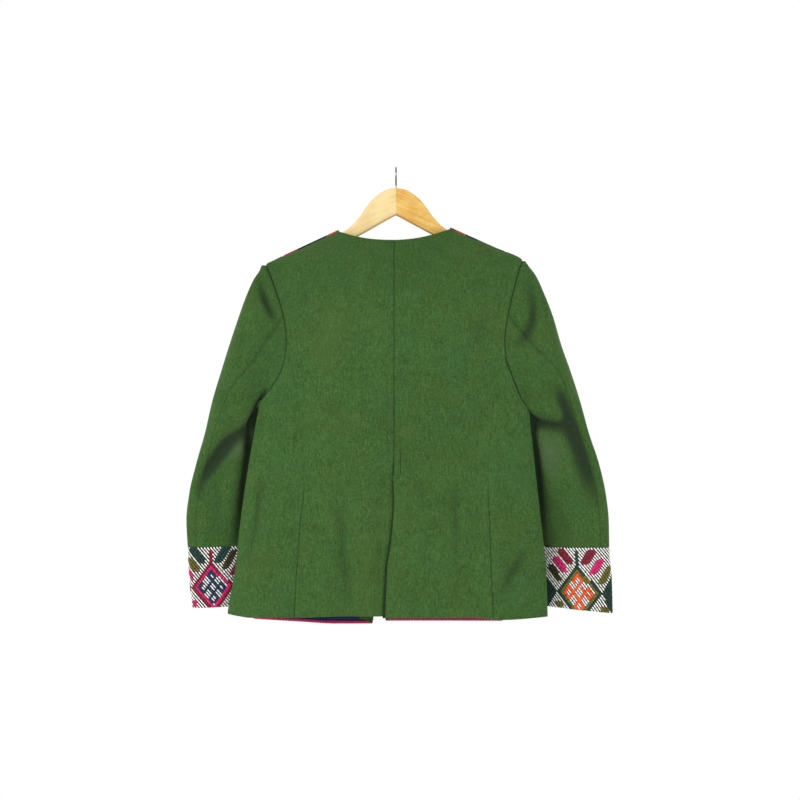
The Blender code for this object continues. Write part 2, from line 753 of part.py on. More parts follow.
def pull_in(grid, closed):
    """The same grid with its edges drawn half a seam gap inwards."""
    half = SEAM_GAP / 2
    drawn = grid.copy()

    def shift(edge, neighbour):
        step = neighbour - edge
        return step / np.linalg.norm(step, axis=-1, keepdims=True) * half

    drawn[0] += shift(grid[0], grid[1])
    drawn[-1] += shift(grid[-1], grid[-2])
    if not closed:
        drawn[:, 0] += shift(grid[:, 0], grid[:, 1])
        drawn[:, -1] += shift(grid[:, -1], grid[:, -2])
    return drawn


def finish(name):
    """The material of one kind of surface."""
    material = bpy.data.materials.get(name)
    if material:
        return material
    colour, roughness, metallic = FINISHES[name]
    material = bpy.data.materials.new(name)
    material.use_nodes = True
    shader = material.node_tree.nodes["Principled BSDF"]
    shader.inputs["Base Color"].default_value = (*colour, 1.0)
    shader.inputs["Roughness"].default_value = roughness
    shader.inputs["Metallic"].default_value = metallic
    return material


def add_mesh(name, points, faces, finish_name, collection):
    """An object from points in millimetres, with its faces turned outwards."""
    model = bmesh.new()
    corners = [model.verts.new(np.array(point) * MM) for point in points]
    for face in faces:
        model.faces.new([corners[index] for index in face])
    bmesh.ops.recalc_face_normals(model, faces=model.faces)
    mesh = bpy.data.meshes.new(name)
    model.to_mesh(mesh)
    model.free()
    mesh.materials.append(finish(finish_name))
    mesh.shade_smooth()
    mesh.set_sharp_from_angle(angle=math.radians(SHARP_ANGLE))
    made = bpy.data.objects.new(name, mesh)
    collection.objects.link(made)
    return made


def add_wall(name, grid, normals, thickness, finish_name, collection, closed=False, rims=()):
    """One piece of cloth: a wall between a grid of points and the same grid moved in by its thickness."""
    outer = pull_in(grid, closed)
    draw_back(outer, grid, rims)
    inner = outer - normals * thickness
    rows, columns = grid.shape[:2]
    points = np.concatenate((outer.reshape(-1, 3), inner.reshape(-1, 3)))
    inside = rows * columns
    faces = []
    spans = columns if closed else columns - 1
    for i in range(rows - 1):
        for j in range(spans):
            k = (j + 1) % columns
            corners = (i * columns + j, i * columns + k, (i + 1) * columns + k, (i + 1) * columns + j)
            faces.append(corners)
            faces.append(tuple(inside + index for index in reversed(corners)))
    for i in (0, rows - 1):
        for j in range(spans):
            start, end = i * columns + j, i * columns + (j + 1) % columns
            faces.append((end, start, inside + start, inside + end))
    if not closed:
        for j in (0, columns - 1):
            for i in range(rows - 1):
                start, end = i * columns + j, (i + 1) * columns + j
                faces.append((start, end, inside + end, inside + start))
    return add_mesh(name, points, faces, finish_name, collection)


def rim_places(grid, rims):
    """The places of a grid that lie on the armhole seam, each with the rim there."""
    for i, row in enumerate(grid):
        for j, point in enumerate(row):
            for rim in rims:
                if np.linalg.norm(point - rim.point) < SEAM_GAP / 2:
                    yield i, j, rim


def draw_back(outer, grid, rims):
    """Draws a piece's edge back from the armhole seam, and its ends along it as well."""
    places = list(rim_places(grid, rims))
    held = {rim.number for _, _, rim in places}
    for i, j, rim in places:
        outer[i, j] = grid[i, j] + rim.shift
        if (rim.number - 1) % len(rims) not in held:
            outer[i, j] += rim.along * SEAM_GAP / 2
        if (rim.number + 1) % len(rims) not in held:
            outer[i, j] -= rim.along * SEAM_GAP / 2


def body_normals(grid, rims):
    """The directions out of the form at each point, but at the armhole the one that the sleeve shares."""
    normals = np.array([[form_normal(point) for point in row] for row in grid])
    for i, j, rim in rim_places(grid, rims):
        normals[i, j] = rim.normal
    return normals


def add_body(side, rims, collection):
    """The panels of one half of the body."""
    name = SIDE_NAMES[side]
    back = back_panel(side)
    normals = body_normals(back, rims)
    for row in back:
        for point in row:
            point[1] += vent_shift(side, point)
    add_wall("back_" + name, back, normals, WOOL_THICKNESS, "green_wool", collection, rims=rims)
    panels = (
        ("side_back_", side_back_panel(side), "green_wool"),
        ("front_", textile_front(side), "textile"),
        ("side_front_", side_front(side), "green_wool"),
    )
    for kind, grid, finish_name in panels:
        normals = body_normals(grid, rims)
        add_wall(kind + name, grid, normals, WOOL_THICKNESS, finish_name, collection, rims=rims)
    strip = facing(side)
    normals = np.array([[form_normal(point) for point in row] for row in strip])
    add_wall("front_facing_" + name, strip, normals, FACING_THICKNESS, "green_wool", collection)


def armhole_rims(grid, normals):
    """The armhole seam's rims as the sleeve has them, and as the body has them."""
    seam, out = grid[0], normals[0]
    along = np.roll(seam, -1, axis=0) - np.roll(seam, 1, axis=0)
    along /= np.linalg.norm(along, axis=1, keepdims=True)
    away = np.cross(along, out)
    away /= np.linalg.norm(away, axis=1, keepdims=True)
    if ((grid[1] - seam) * away).sum() < 0:
        away = -away
    shift = away * SEAM_GAP / 2
    numbers = range(len(seam))
    sleeve_rims = [Rim(*rim) for rim in zip(numbers, seam, out, along, shift)]
    body_rims = [Rim(*rim) for rim in zip(numbers, seam, out, along, -shift)]
    return sleeve_rims, body_rims


def add_sleeve(side, collection):
    """The two pieces of a sleeve and its cuff. Gives the rims that the body's side of the armhole has."""
    name = SIDE_NAMES[side]
    angles = armhole_angles()
    grid, normals = sleeve_grid(side)
    sleeve_rims, body_rims = armhole_rims(grid, normals)
    back_column = angles.index(min(angles, key=lambda angle: abs(angle - SLEEVE_SEAMS[0][1])))
    front_column = angles.index(min(angles, key=lambda angle: abs(angle - SLEEVE_SEAMS[0][2])))
    under = list(range(back_column, front_column + 1))
    upper = list(range(front_column, len(angles))) + list(range(back_column + 1))
    for kind, columns in (("upper_sleeve_", upper), ("under_sleeve_", under)):
        piece, out = grid[:, columns], normals[:, columns]
        add_wall(kind + name, piece, out, WOOL_THICKNESS, "green_wool", collection, rims=sleeve_rims)
    band = cuff_grid(side, angles)
    out = grid_normals(band, closed=True)
    if ((band - band.mean(axis=1, keepdims=True)) * out).sum() < 0:
        out = -out
    add_wall("cuff_" + name, band, out, CUFF_THICKNESS, "embroidery", collection, closed=True)
    return body_rims


def add_edge_cord(side, collection):
    """The round cord along the lower edge of a textile front."""
    start = front_edge(side)[0][0] + side * EDGE_CORD_RADIUS / 2
    end = front_seam(side)[0][0]
    curve = bpy.data.curves.new("edge_cord_" + SIDE_NAMES[side], "CURVE")
    curve.dimensions = "3D"
    curve.bevel_depth = EDGE_CORD_RADIUS * MM
    curve.bevel_resolution = TUBE_RESOLUTION
    curve.use_fill_caps = True
    spline = curve.splines.new("POLY")
    spline.points.add(EDGE_CORD_STEPS)
    for point, x in zip(spline.points, between(start, end, EDGE_CORD_STEPS)):
        down = hem_down(FRONT_HEM[side], x)
        hem = on_form(x, down, FRONT)
        place = (hem[0], hem[1] + EDGE_CORD_FORWARD, hem[2] - EDGE_CORD_BELOW)
        point.co = (*(value * MM for value in place), 1.0)
    curve.materials.append(finish("edge_cord"))
    made = bpy.data.objects.new(curve.name, curve)
    collection.objects.link(made)


def hanger_section(side, out):
    """The top and bottom of the wood at a distance from the hook's line."""
    neck_end = HANGER_NECK[-1][0]
    meeting = ridge_down(side, neck_end) + HANGER_ARM[0][1]
    if out >= neck_end:
        top = ridge_down(side, out) + read(HANGER_ARM, HANGER_ARM_COLUMNS, "below_ridge", out)
        return top, top + read(HANGER_ARM, HANGER_ARM_COLUMNS, "height", out)
    tilt = (meeting - HANGER_NECK[-1][1]) * smooth_step(out / neck_end)
    top = read(HANGER_NECK, HANGER_NECK_COLUMNS, "top", out) + tilt
    return top, read(HANGER_NECK, HANGER_NECK_COLUMNS, "bottom", out) + tilt


def add_hanger_half(side, finish_name, collection):
    """Half of the hanger: rounded oblong sections from the middle out to the tip of the arm."""
    neck_end, tip = HANGER_NECK[-1][0], HANGER_ARM[-1][0]
    tip = tip if side == LEFT else tip - (NECK_OUT[LEFT] - NECK_OUT[RIGHT])
    outs = list(between(SEAM_GAP / 2, neck_end, HANGER_NECK_STEPS)) + list(
        between(neck_end, tip, HANGER_ARM_STEPS)[1:]
    )
    points = []
    for out in outs:
        top, bottom = hanger_section(side, out)
        thickness = read(HANGER_ARM, HANGER_ARM_COLUMNS, "thickness", out)
        for step in range(HANGER_RING_POINTS):
            turn = 2 * math.pi * (step + 0.5) / HANGER_RING_POINTS
            power = 2 / HANGER_SQUARE
            across = math.copysign(abs(math.cos(turn)) ** power, math.cos(turn))
            up = math.copysign(abs(math.sin(turn)) ** power, math.sin(turn))
            y = thickness / 2 * across
            points.append((side * out, y, -(top + bottom) / 2 + (bottom - top) / 2 * up))
    count = HANGER_RING_POINTS
    faces = [tuple(range(count)), tuple(range(len(points) - count, len(points)))]
    for i in range(len(outs) - 1):
        for j in range(count):
            k = (j + 1) % count
            faces.append((i * count + j, i * count + k, (i + 1) * count + k, (i + 1) * count + j))
    return add_mesh("hanger_" + SIDE_NAMES[side], points, faces, finish_name, collection)


def add_hook_hole(halves, cutters):
    """The hole that the hook's shank stands in, cut from both halves."""
    top = HANGER_NECK[0][1] - HOOK_LOOP_RADIUS
    bpy.ops.mesh.primitive_cylinder_add(
        vertices=HOOK_HOLE_SIDES,
        radius=HOOK_HOLE_RADIUS * MM,
        depth=(HOOK_HOLE_DOWN - top) * MM,
        location=(0, 0, -(HOOK_HOLE_DOWN + top) / 2 * MM),
    )
    cutter = bpy.context.active_object
    cutter.name = "hook_hole"
    cutter.hide_render = True
    cutter.display_type = "WIRE"
    for collection in list(cutter.users_collection):
        collection.objects.unlink(cutter)
    cutters.objects.link(cutter)
    for half in halves:
        cut = half.modifiers.new("hook hole", "BOOLEAN")
        cut.operation = "DIFFERENCE"
        cut.solver = "EXACT"
        cut.object = cutter


def hook_line():
    """The middle of the hook's wire, in its own upright plane across the hanger: shank, bend and loop."""
    loop_centre = -(HOOK_LOOP_RADIUS - HOOK_WIRE_RADIUS)
    ratio = HOOK_BEND_RADIUS / HOOK_LOOP_RADIUS
    bend = math.acos(ratio / (1 + ratio))
    bend_start = loop_centre - (HOOK_LOOP_RADIUS + HOOK_BEND_RADIUS) * math.sin(bend)
    points = [(0.0, -HOOK_HOLE_DOWN + HOOK_WIRE_RADIUS), (0.0, (bend_start - HOOK_HOLE_DOWN) / 2)]
    for step in range(HOOK_BEND_STEPS + 1):
        turn = bend * step / HOOK_BEND_STEPS
        y = -HOOK_BEND_RADIUS * (1 - math.cos(turn))
        points.append((y, bend_start + HOOK_BEND_RADIUS * math.sin(turn)))
    start, end = bend - math.pi, math.radians(HOOK_END_ANGLE)
    for step in range(1, HOOK_ARC_STEPS + 1):
        turn = start + (end - start) * step / HOOK_ARC_STEPS
        y = HOOK_LOOP_RADIUS * math.cos(turn)
        points.append((y, loop_centre + HOOK_LOOP_RADIUS * math.sin(turn)))
    return points


def add_hook(collection):
    curve = bpy.data.curves.new("hanger_hook", "CURVE")
    curve.dimensions = "3D"
    curve.bevel_depth = HOOK_WIRE_RADIUS * MM
    curve.bevel_resolution = TUBE_RESOLUTION
    curve.use_fill_caps = True
    line = hook_line()
    spline = curve.splines.new("POLY")
    spline.points.add(len(line) - 1)
    for point, (y, z) in zip(spline.points, line):
        point.co = (0.0, y * MM, z * MM, 1.0)
    curve.materials.append(finish("steel"))
    made = bpy.data.objects.new("hanger_hook", curve)
    collection.objects.link(made)


def clear_scene():
    for item in list(bpy.data.objects):
        bpy.data.objects.remove(item, do_unlink=True)


def add_collection(name):
    collection = bpy.data.collections.new(name)
    bpy.context.scene.collection.children.link(collection)
    return collection


def main():
    clear_scene()
    parts = add_collection(COLLECTION)
    cutters = add_collection("cutters")
    for side in (LEFT, RIGHT):
        rims = add_sleeve(side, parts)
        add_body(side, rims, parts)
        add_edge_cord(side, parts)
    halves = [add_hanger_half(LEFT, "pale_wood", parts), add_hanger_half(RIGHT, "warm_wood", parts)]
    add_hook_hole(halves, cutters)
    add_hook(parts)


main()
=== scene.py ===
"""The looks of a green wool jacket with embroidered cuffs, hanging by its shoulders on a wooden hanger.

Lengths are in millimetres until a mesh is made, "down" is the distance below the inside top of the hook, and
"out" the distance from the hook's line. The back of the jacket faces -Y. The cloth lies on the same form as
the solids, with finer points, seams pressed in and the creases that hanging gives it.
"""

import math
import random

import bpy
import numpy as np
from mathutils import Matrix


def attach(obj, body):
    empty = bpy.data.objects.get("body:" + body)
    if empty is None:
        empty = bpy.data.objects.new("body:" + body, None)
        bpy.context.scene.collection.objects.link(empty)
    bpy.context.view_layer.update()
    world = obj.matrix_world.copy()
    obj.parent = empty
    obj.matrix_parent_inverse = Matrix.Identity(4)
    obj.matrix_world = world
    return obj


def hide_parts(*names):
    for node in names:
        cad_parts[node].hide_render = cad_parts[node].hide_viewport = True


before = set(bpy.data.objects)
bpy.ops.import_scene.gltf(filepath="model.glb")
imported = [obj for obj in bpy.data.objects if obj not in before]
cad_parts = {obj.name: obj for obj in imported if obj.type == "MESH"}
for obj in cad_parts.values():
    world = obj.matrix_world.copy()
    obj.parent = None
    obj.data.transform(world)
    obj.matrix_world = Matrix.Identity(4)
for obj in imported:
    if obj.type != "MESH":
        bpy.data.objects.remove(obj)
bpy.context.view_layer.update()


# The studio: a white room with a pale floor under the jacket, a wide soft light high on the left and a weaker
# one on the right. The camera stands far off, level with the middle of the jacket and square to its back.
CAMERA_DISTANCE, CAMERA_LENS, CAMERA_SENSOR = 5.3333, 150.0, 36.0
AIM_X, AIM_Z = 0.0064, -0.3704
# Each light: where it stands, its width, its strength
STUDIO_LIGHTS = (
    ((-2.4, -2.2, 0.5), 1.4, 43.0),
    ((2.2, -2.0, 0.4), 1.8, 16.0),
    ((0.6, 2.4, 1.4), 1.6, 12.0),
)
FLOOR = {"vertices": 96, "radius": 1.8, "location": (0, 0, -1.25)}
FLOOR_LOOK = {"Base Color": (0.85, 0.85, 0.84, 1), "Roughness": 0.9}
ROOM_LIGHT = {"Color": (1, 1, 1, 1), "Strength": 1.0}
scene = bpy.context.scene


def stand(name, data, place=(0, 0, 0), turn=(0, 0, 0)):
    """Puts new data into the scene as an object."""
    made = bpy.data.objects.new(name, data)
    made.location, made.rotation_euler = place, turn
    scene.collection.objects.link(made)
    return made


def set_look(owner, node, look):
    """Constants of a material or world, set on the sockets of one of its nodes."""
    owner.use_nodes = True
    for socket, value in look.items():
        owner.node_tree.nodes[node].inputs[socket].default_value = value


camera_data = bpy.data.cameras.new("camera")
camera_data.lens, camera_data.sensor_width = CAMERA_LENS, CAMERA_SENSOR
scene.camera = stand("camera", camera_data, (AIM_X, -CAMERA_DISTANCE, AIM_Z), (math.radians(90), 0, 0))
scene.view_settings.view_transform = "Standard"
scene.world = bpy.data.worlds.new("white_room")
set_look(scene.world, "Background", ROOM_LIGHT)
for number, (place, width, strength) in enumerate(STUDIO_LIGHTS):
    light_data = bpy.data.lights.new(f"softbox_{number}", "AREA")
    light_data.size, light_data.energy = width, strength
    towards = np.array((AIM_X, 0, AIM_Z)) - place
    tilt = math.acos(-towards[2] / np.linalg.norm(towards))
    stand(light_data.name, light_data, place, (tilt, 0, math.atan2(towards[1], towards[0]) - math.pi / 2))
bpy.ops.mesh.primitive_circle_add(fill_type="NGON", **FLOOR)
floor = bpy.context.active_object
floor.name = "floor"
floor.data.materials.append(bpy.data.materials.new("pale_floor"))
set_look(floor.data.materials[0], "Principled BSDF", FLOOR_LOOK)


# Green felted wool, the cloth of the whole jacket but its fronts and cuffs: a plain woven cloth that was
# milled until its threads just show as fine upright lines, with a short nap, darker and lighter patches and
# specks of lint. Sleeves are cut from the same cloth, and their lines run along them.
def sum_node(operation, turned=False):
    """A method of Shade that adds one Math node, with its inputs changed round where turned is true."""

    def add(self, *other):
        inputs = (*other, self) if turned else (self, *other)
        return self.node("Math", {"operation": operation}, dict(enumerate(inputs)))

    return add


class Shade:
    """One socket of a finish. Sums on it add the nodes that do them, and node() adds any other node."""

    __add__, __radd__ = sum_node("ADD"), sum_node("ADD", True)
    __mul__, __rmul__ = sum_node("MULTIPLY"), sum_node("MULTIPLY", True)
    __sub__, __rsub__ = sum_node("SUBTRACT"), sum_node("SUBTRACT", True)
    __truediv__, __gt__, __lt__ = sum_node("DIVIDE"), sum_node("GREATER_THAN"), sum_node("LESS_THAN")
    absolute, fraction = sum_node("ABSOLUTE"), sum_node("FRACT")

    def __init__(self, tree, socket=None):
        self.tree = tree
        self.socket = socket

    def node(self, kind, settings=None, inputs=None, output=0):
        made = self.tree.nodes.new("ShaderNode" + kind)
        for name, value in (settings or {}).items():
            setattr(made, name, value)
        for name, value in (inputs or {}).items():
            if isinstance(value, Shade):
                self.tree.links.new(value.socket, made.inputs[name])
            else:
                made.inputs[name].default_value = value
        return Shade(self.tree, made.outputs[output])

    def mark(self, name):
        """The values from 0 to 1 that a mesh carries at its points under a name."""
        return self.node("Attribute", {"attribute_type": "GEOMETRY", "attribute_name": name}, output=2)

    def mix(self, first, second):
        """The first colour where this is 0, the second where it is 1."""
        return self.node("Mix", {"data_type": "RGBA"}, {0: self, 6: first, 7: second}, output=2)

    def ramp(self, *stops, kind="LINEAR"):
        """A colour for each level, from stops that each give a level and its colour."""
        made = self.node("ValToRGB", None, {0: self})
        ramp = made.socket.node.color_ramp
        ramp.interpolation = kind
        while len(ramp.elements) < len(stops):
            ramp.elements.new(1.0)
        for element, (place, colour) in zip(ramp.elements, stops):
            element.position = place
            element.color = (*colour, 1.0)[:4]
        return made

    def above(self, low, high):
        """0 up to the low level and 1 from the high one."""
        return self.ramp((low, (0, 0, 0)), (high, (1, 1, 1)))

    def mapped(self, **changes):
        return self.node("Mapping", {"vector_type": "POINT"}, {"Vector": self, **changes})

    def noise(self, scale, detail=3.0, stretch=(1, 1, 1)):
        """Cloudy values from 0 to 1 over this place, finer with a larger scale."""
        settings = {"Vector": self.mapped(Scale=stretch), "Scale": scale, "Detail": detail, "Roughness": 0.5}
        return self.node("TexNoise", None, settings)

    def axes(self):
        return [self.node("SeparateXYZ", None, {"Vector": self}, output=i) for i in range(3)]


def new_finish(name, roughness, **look):
    """A material with constants on its shader, and the place on the object that its maths starts from."""
    material = bpy.data.materials.new(name)
    look = {socket.replace("_", " "): value for socket, value in look.items()}
    set_look(material, "Principled BSDF", {"Roughness": roughness, **look})
    return material, Shade(material.node_tree).node("TexCoord", output=3)


def paint(material, colour, height=None, strength=0.0, distance=0.0):
    """Gives a finish its colour, and its relief of a strength and a height in metres."""
    shader = material.node_tree.nodes["Principled BSDF"]
    colour.tree.links.new(colour.socket, shader.inputs["Base Color"])
    if height is not None:
        bump = colour.node("Bump", None, {"Strength": strength, "Distance": distance, "Height": height})
        colour.tree.links.new(bump.socket, shader.inputs["Normal"])
    return material


WOOL_DARK, WOOL_MID, WOOL_LIGHT = (0.020, 0.053, 0.010, 1), (0.034, 0.087, 0.017, 1), (0.053, 0.125, 0.029, 1)
WOOL_YELLOW, WOOL_BLUE, LINT = (0.052, 0.090, 0.018, 1), (0.028, 0.098, 0.030, 1), (0.13, 0.19, 0.09, 1)
# Painted colours: seam lines with painted shade in their grooves and painted shadow at the vent, painted
# shade in the hollows of folds, and a painted pale sheen of the nap
WOOL_SEAM_AND_SHADOW, WOOL_PAINTED_FOLD_SHADE, WOOL_PAINTED_SHEEN = (0.006, 0.016, 0.004, 1), (0.010, 0.019, 0.009, 1), (0.078, 0.112, 0.060, 1)
WOOL_LOOK = {"Sheen_Weight": 0.12, "Sheen_Roughness": 0.6, "Sheen_Tint": (0.55, 0.8, 0.4, 1),
             "Specular_IOR_Level": 0.15}
# Fine dark lines of the back, pressed into it or in shadow along the vent: their ends across and up, half
# their width, all in metres, and how dark they are
DARK_LINES = (
    (0.0070, -0.4520, 0.0070, -0.4870, 0.0007, 0.75),
    (-0.1622, -0.4210, -0.1622, -0.4470, 0.0005, 0.60),
    (-0.0135, -0.3300, -0.0135, -0.4700, 0.0012, 0.15),
    (-0.0048, -0.4984, -0.0035, -0.5350, 0.0010, 0.85),
    (-0.0035, -0.5350, -0.0062, -0.5688, 0.0011, 0.85),
    (-0.0062, -0.5688, -0.0096, -0.6008, 0.0013, 0.90),
    (-0.0096, -0.6008, -0.0156, -0.6360, 0.0015, 0.90),
    (-0.0156, -0.6360, -0.0196, -0.7300, 0.0018, 0.95),
)
# Small brown stains below the right shoulder: where they are across and up, and their size, in metres
STAINS = (
    (0.1272, -0.1224, 0.0020), (0.1350, -0.1242, 0.0034),
    (0.1322, -0.1346, 0.0026), (0.1460, -0.1320, 0.0030),
)
STAIN, STAIN_STRENGTH = (0.052, 0.034, 0.015, 1), 0.6


def wool_finish(name, lean, depth):
    """Green wool whose threads lean by an angle in degrees from upright. A depth of painted shade darkens it
    all over, and 1 gives its darkest tone.
    """
    material, place = new_finish(name, 0.92, **WOOL_LOOK)
    turned = place.mapped(Rotation=(0, math.radians(lean), 0))
    threads, across = turned.noise(90.0, 4.0, (10, 10, 1.2)), turned.noise(90.0, 3.0, (1.5, 1.5, 9))
    grain, mottle, broad = place.noise(330.0), place.noise(42.0, 5.0), place.noise(6.0)
    tint, fleck = place.noise(13.0, 4.0), place.noise(430.0, 2.0)
    level = 0.38 * threads + 0.14 * across + 0.30 * grain + 0.11 * mottle + 0.07 * broad
    colour = level.ramp((0.40, WOOL_DARK), (0.5, WOOL_MID), (0.60, WOOL_LIGHT))
    colour = (tint.above(0.5, 0.75) * 0.4).mix(colour, WOOL_YELLOW)
    colour = ((1 - tint).above(0.5, 0.75) * 0.25).mix(colour, WOOL_BLUE)
    colour = (fleck.above(0.68, 0.78) * 0.5).mix(colour, LINT)
    x, y, z = place.axes()
    # Painted shade: darker towards the top, and darker all over by the depth
    painted_yoke_shade = (z * 7.0 + 1.6).above(0.0, 1.0) * 0.52
    colour = (painted_yoke_shade + depth).mix(colour, WOOL_DARK)
    # Painted sheen: a paler haze of the nap where the light catches it
    colour = (place.mark("painted_sheen") * 0.5).mix(colour, WOOL_PAINTED_SHEEN)
    # Painted shade, darkest in the deepest troughs of the creases
    colour = (place.mark("fold_shade") * 0.88).mix(colour, WOOL_PAINTED_FOLD_SHADE)
    lines, stains = 0, 0
    for top_x, top, foot_x, foot, half, dark in DARK_LINES:
        slope = (foot_x - top_x) / (foot - top)
        aside = (x - z * slope - (top_x - top * slope)).absolute()
        lines = lines + (aside < half) * (z < top) * (z > foot) * (y < 0) * dark
    ragged = grain * 5.0 - 1.5
    for stain_x, stain_z, radius in STAINS:
        aside, above = (x - stain_x) / radius, (z - stain_z) / radius
        stains = stains + (aside * aside + above * above < ragged) * (y < 0) * STAIN_STRENGTH
    # Painted shade: fine dark lines, which are pressed seams and painted shadow along the vent, and seam
    # lines darkened by painted shade in their grooves
    colour = lines.mix(stains.mix(colour, STAIN), WOOL_SEAM_AND_SHADOW)
    colour = (place.mark("seam") * 0.92).mix(colour, WOOL_SEAM_AND_SHADOW)
    nap = place.noise(1500.0)
    return paint(material, colour, threads * 0.5 + across * 0.3 + nap * 0.5, 0.35, 0.0008)


wool = wool_finish("green_wool", 0, 0.02)


# The back of the body: two centre back panels joined by the centre back seam, and a side back panel on each
# side, cut from the green wool. Every seam is sewn right sides together, so it sinks a little between two
# rolls of cloth. Below the waist the centre seam is left open as a vent, the right panel over the left one.
MM = 0.001
LEFT, RIGHT = -1, 1
SIDES = {"left": LEFT, "right": RIGHT}
WOOL_THICKNESS = 2.0
ROLL_WIDTH = 1.4
# Each kind of edge: how deep its roll sinks, how dark the line in it is, and how wide that line. The line is
# the seam's dark line with painted shade in its groove, and at the vent's edge it is painted shadow
ARMHOLE_EDGE, CENTRE_EDGE, PANEL_EDGE = (1.3, 1.0, 0.8), (1.1, 0.8, 0.7), (0.8, 0.75, 0.75)
PANEL_EDGE_HIGH, PANEL_CRISP_FROM = (0.45, 0.25, 0.6), 512.0
SLEEVE_EDGE, SHOULDER_EDGE, HEM_EDGE = (0.6, 0.4, 0.6), (0.5, 0.25, 0.6), (0.7, 0.0, 0.6)
UNDERARM_EDGE, VENT_SHADOW_EDGE_TOP, VENT_SHADOW_EDGE_FOOT = (1.7, 1.0, 1.7), (1.2, 1.0, 1.3), (1.8, 1.0, 3.1)
# How deep a crease's trough is where its painted shade is darkest
PAINTED_FOLD_SHADE_DEPTH = 7.0
SHARP_ANGLE = math.radians(50)


class Table:
    """Short rows with named columns, read at any value of the first column on a smooth curve."""

    def __init__(self, columns, *rows):
        self.values = dict(zip(columns, np.array(rows, float).T))
        self.keys = self.values[columns[0]]

    def at(self, name, place):
        values = self.values[name]
        steps = np.diff(self.keys)
        slopes = np.diff(values) / steps
        turns, sums = slopes[:-1] * slopes[1:], slopes[:-1] + slopes[1:]
        inner = np.where(turns > 0, 2 * turns / np.where(sums == 0, 1, sums), 0)
        tangents = np.concatenate((slopes[:1], inner, slopes[-1:]))
        place = np.clip(place, self.keys[0], self.keys[-1])
        i = np.clip(np.searchsorted(self.keys, place, side="right") - 1, 0, len(steps) - 1)
        t = (place - self.keys[i]) / steps[i]
        start = (1 + 2 * t) * (1 - t) ** 2 * values[i] + t * (1 - t) ** 2 * steps[i] * tangents[i]
        end = t * t * (3 - 2 * t) * values[i + 1] + t * t * (t - 1) * steps[i] * tangents[i + 1]
        return start + end


# The form of the body: half widths from the hook's line, depths, and how far forward the side seams sit
BODY = Table(
    ("down", LEFT, RIGHT, "back", "front", "side_y"),
    (60, 10, 14, 15, 15, 0), (80, 53, 57, 17, 17, 0), (98, 92, 96, 19, 19, 0), (125, 150, 156, 24, 24, 0),
    (146, 194, 202, 27.5, 27.5, 0), (154, 208, 206, 28.5, 28.5, 0), (200, 212, 209, 31, 30, -1),
    (372, 218, 213, 36, 32, -4), (405, 224, 215, 36, 32, -4), (480, 237, 223, 35, 32, -4),
    (556, 248, 231, 36, 33, -4), (636, 257, 240, 38, 34, -4), (713, 270, 243, 40, 36, -4),
    (740, 273, 244, 40, 36, -4),
)
LEAN_POWER = 3
SETTLE_FLAT, SETTLE_LEAST = 0.85, 0.01
ARM_TOP_DOWN = {LEFT: 154.5, RIGHT: 147.0}
UNDERARM_DOWN = {LEFT: 372.0, RIGHT: 383.0}
ARMHOLE_INSET = Table(
    ("share", LEFT, RIGHT),
    (0.0, 0, 0), (0.06, 6, 6), (0.18, 17, 15), (0.34, 30, 26), (0.48, 37, 33), (0.58, 39, 35),
    (0.67, 38, 33.5), (0.75, 34.5, 28), (0.84, 25, 20.5), (0.93, 13, 12.5), (1.0, 0, 0),
)
ARM_SEAM_ANGLE, ARM_RIDGE_ANGLE, ARM_PANEL_ANGLE = 11.0, 5.5, 108.0
BACK_SEAM = Table(
    ("down", LEFT, RIGHT),
    (297, 177, 175), (325, 165, 165), (356, 158, 158.5), (430, 151, 151), (514, 147, 147), (562, 152, 149),
    (626, 157, 151), (713, 162, 155),
)
CENTRE_BACK, BACK_NECK_DOWN, BACK_NECK_ROUND = -3.0, 115.0, {LEFT: 2.3, RIGHT: 1.95}
NECK_OUT, TEXTILE_TOP_OUT = {LEFT: 92.0, RIGHT: 87.0}, {LEFT: 181.0, RIGHT: 175.0}
# The vent: the edges of the right panel over it and the left one under it, and how far they are moved
VENT = Table(
    ("down", RIGHT, LEFT, "under_push", "over_lift"),
    (455, -3.0, -3.0, 0.0, 0.0), (488, -4.0, -4.0, 2.8, 0.3), (496, -6.3, 4.0, 3.0, 0.5),
    (530, -5.4, 24.0, 3.2, 0.8), (569, -7.6, 26.0, 3.6, 1.4), (600, -10.8, 26.0, 4.0, 1.8),
    (637, -16.8, 26.0, 4.4, 2.0), (676, -19.6, 26.0, 4.6, 2.0), (720, -21.4, 26.0, 4.8, 2.0),
)
VENT_PUSH_SPREAD = 45.0
BACK_HEM = {
    LEFT: Table(
        ("x", "down"), (-270, 712), (-250, 715.5), (-232, 717.5), (-162, 717), (-90, 714.5), (30, 714.5),
    ),
    RIGHT: Table(("x", "down"), (-25, 717), (120, 717), (171, 720.5), (243, 716.5)),
}
SIDE_SEAM_X = {LEFT: -270.0, RIGHT: 243.0}

# Soft upright folds of the back: where they stand, how far they reach, how wide and how proud they are
BACK_FOLDS = (
    (-78, 500, 720, 16, -3.0), (-100, 520, 720, 14, 2.0), (-226, 460, 700, 12, 2.5),
    (-200, 480, 700, 11, -2.0),
    (95, 480, 600, 14, 2.0), (118, 470, 680, 15, -2.0), (175, 560, 700, 14, 2.5),
)
FOLD_FADE = 60.0

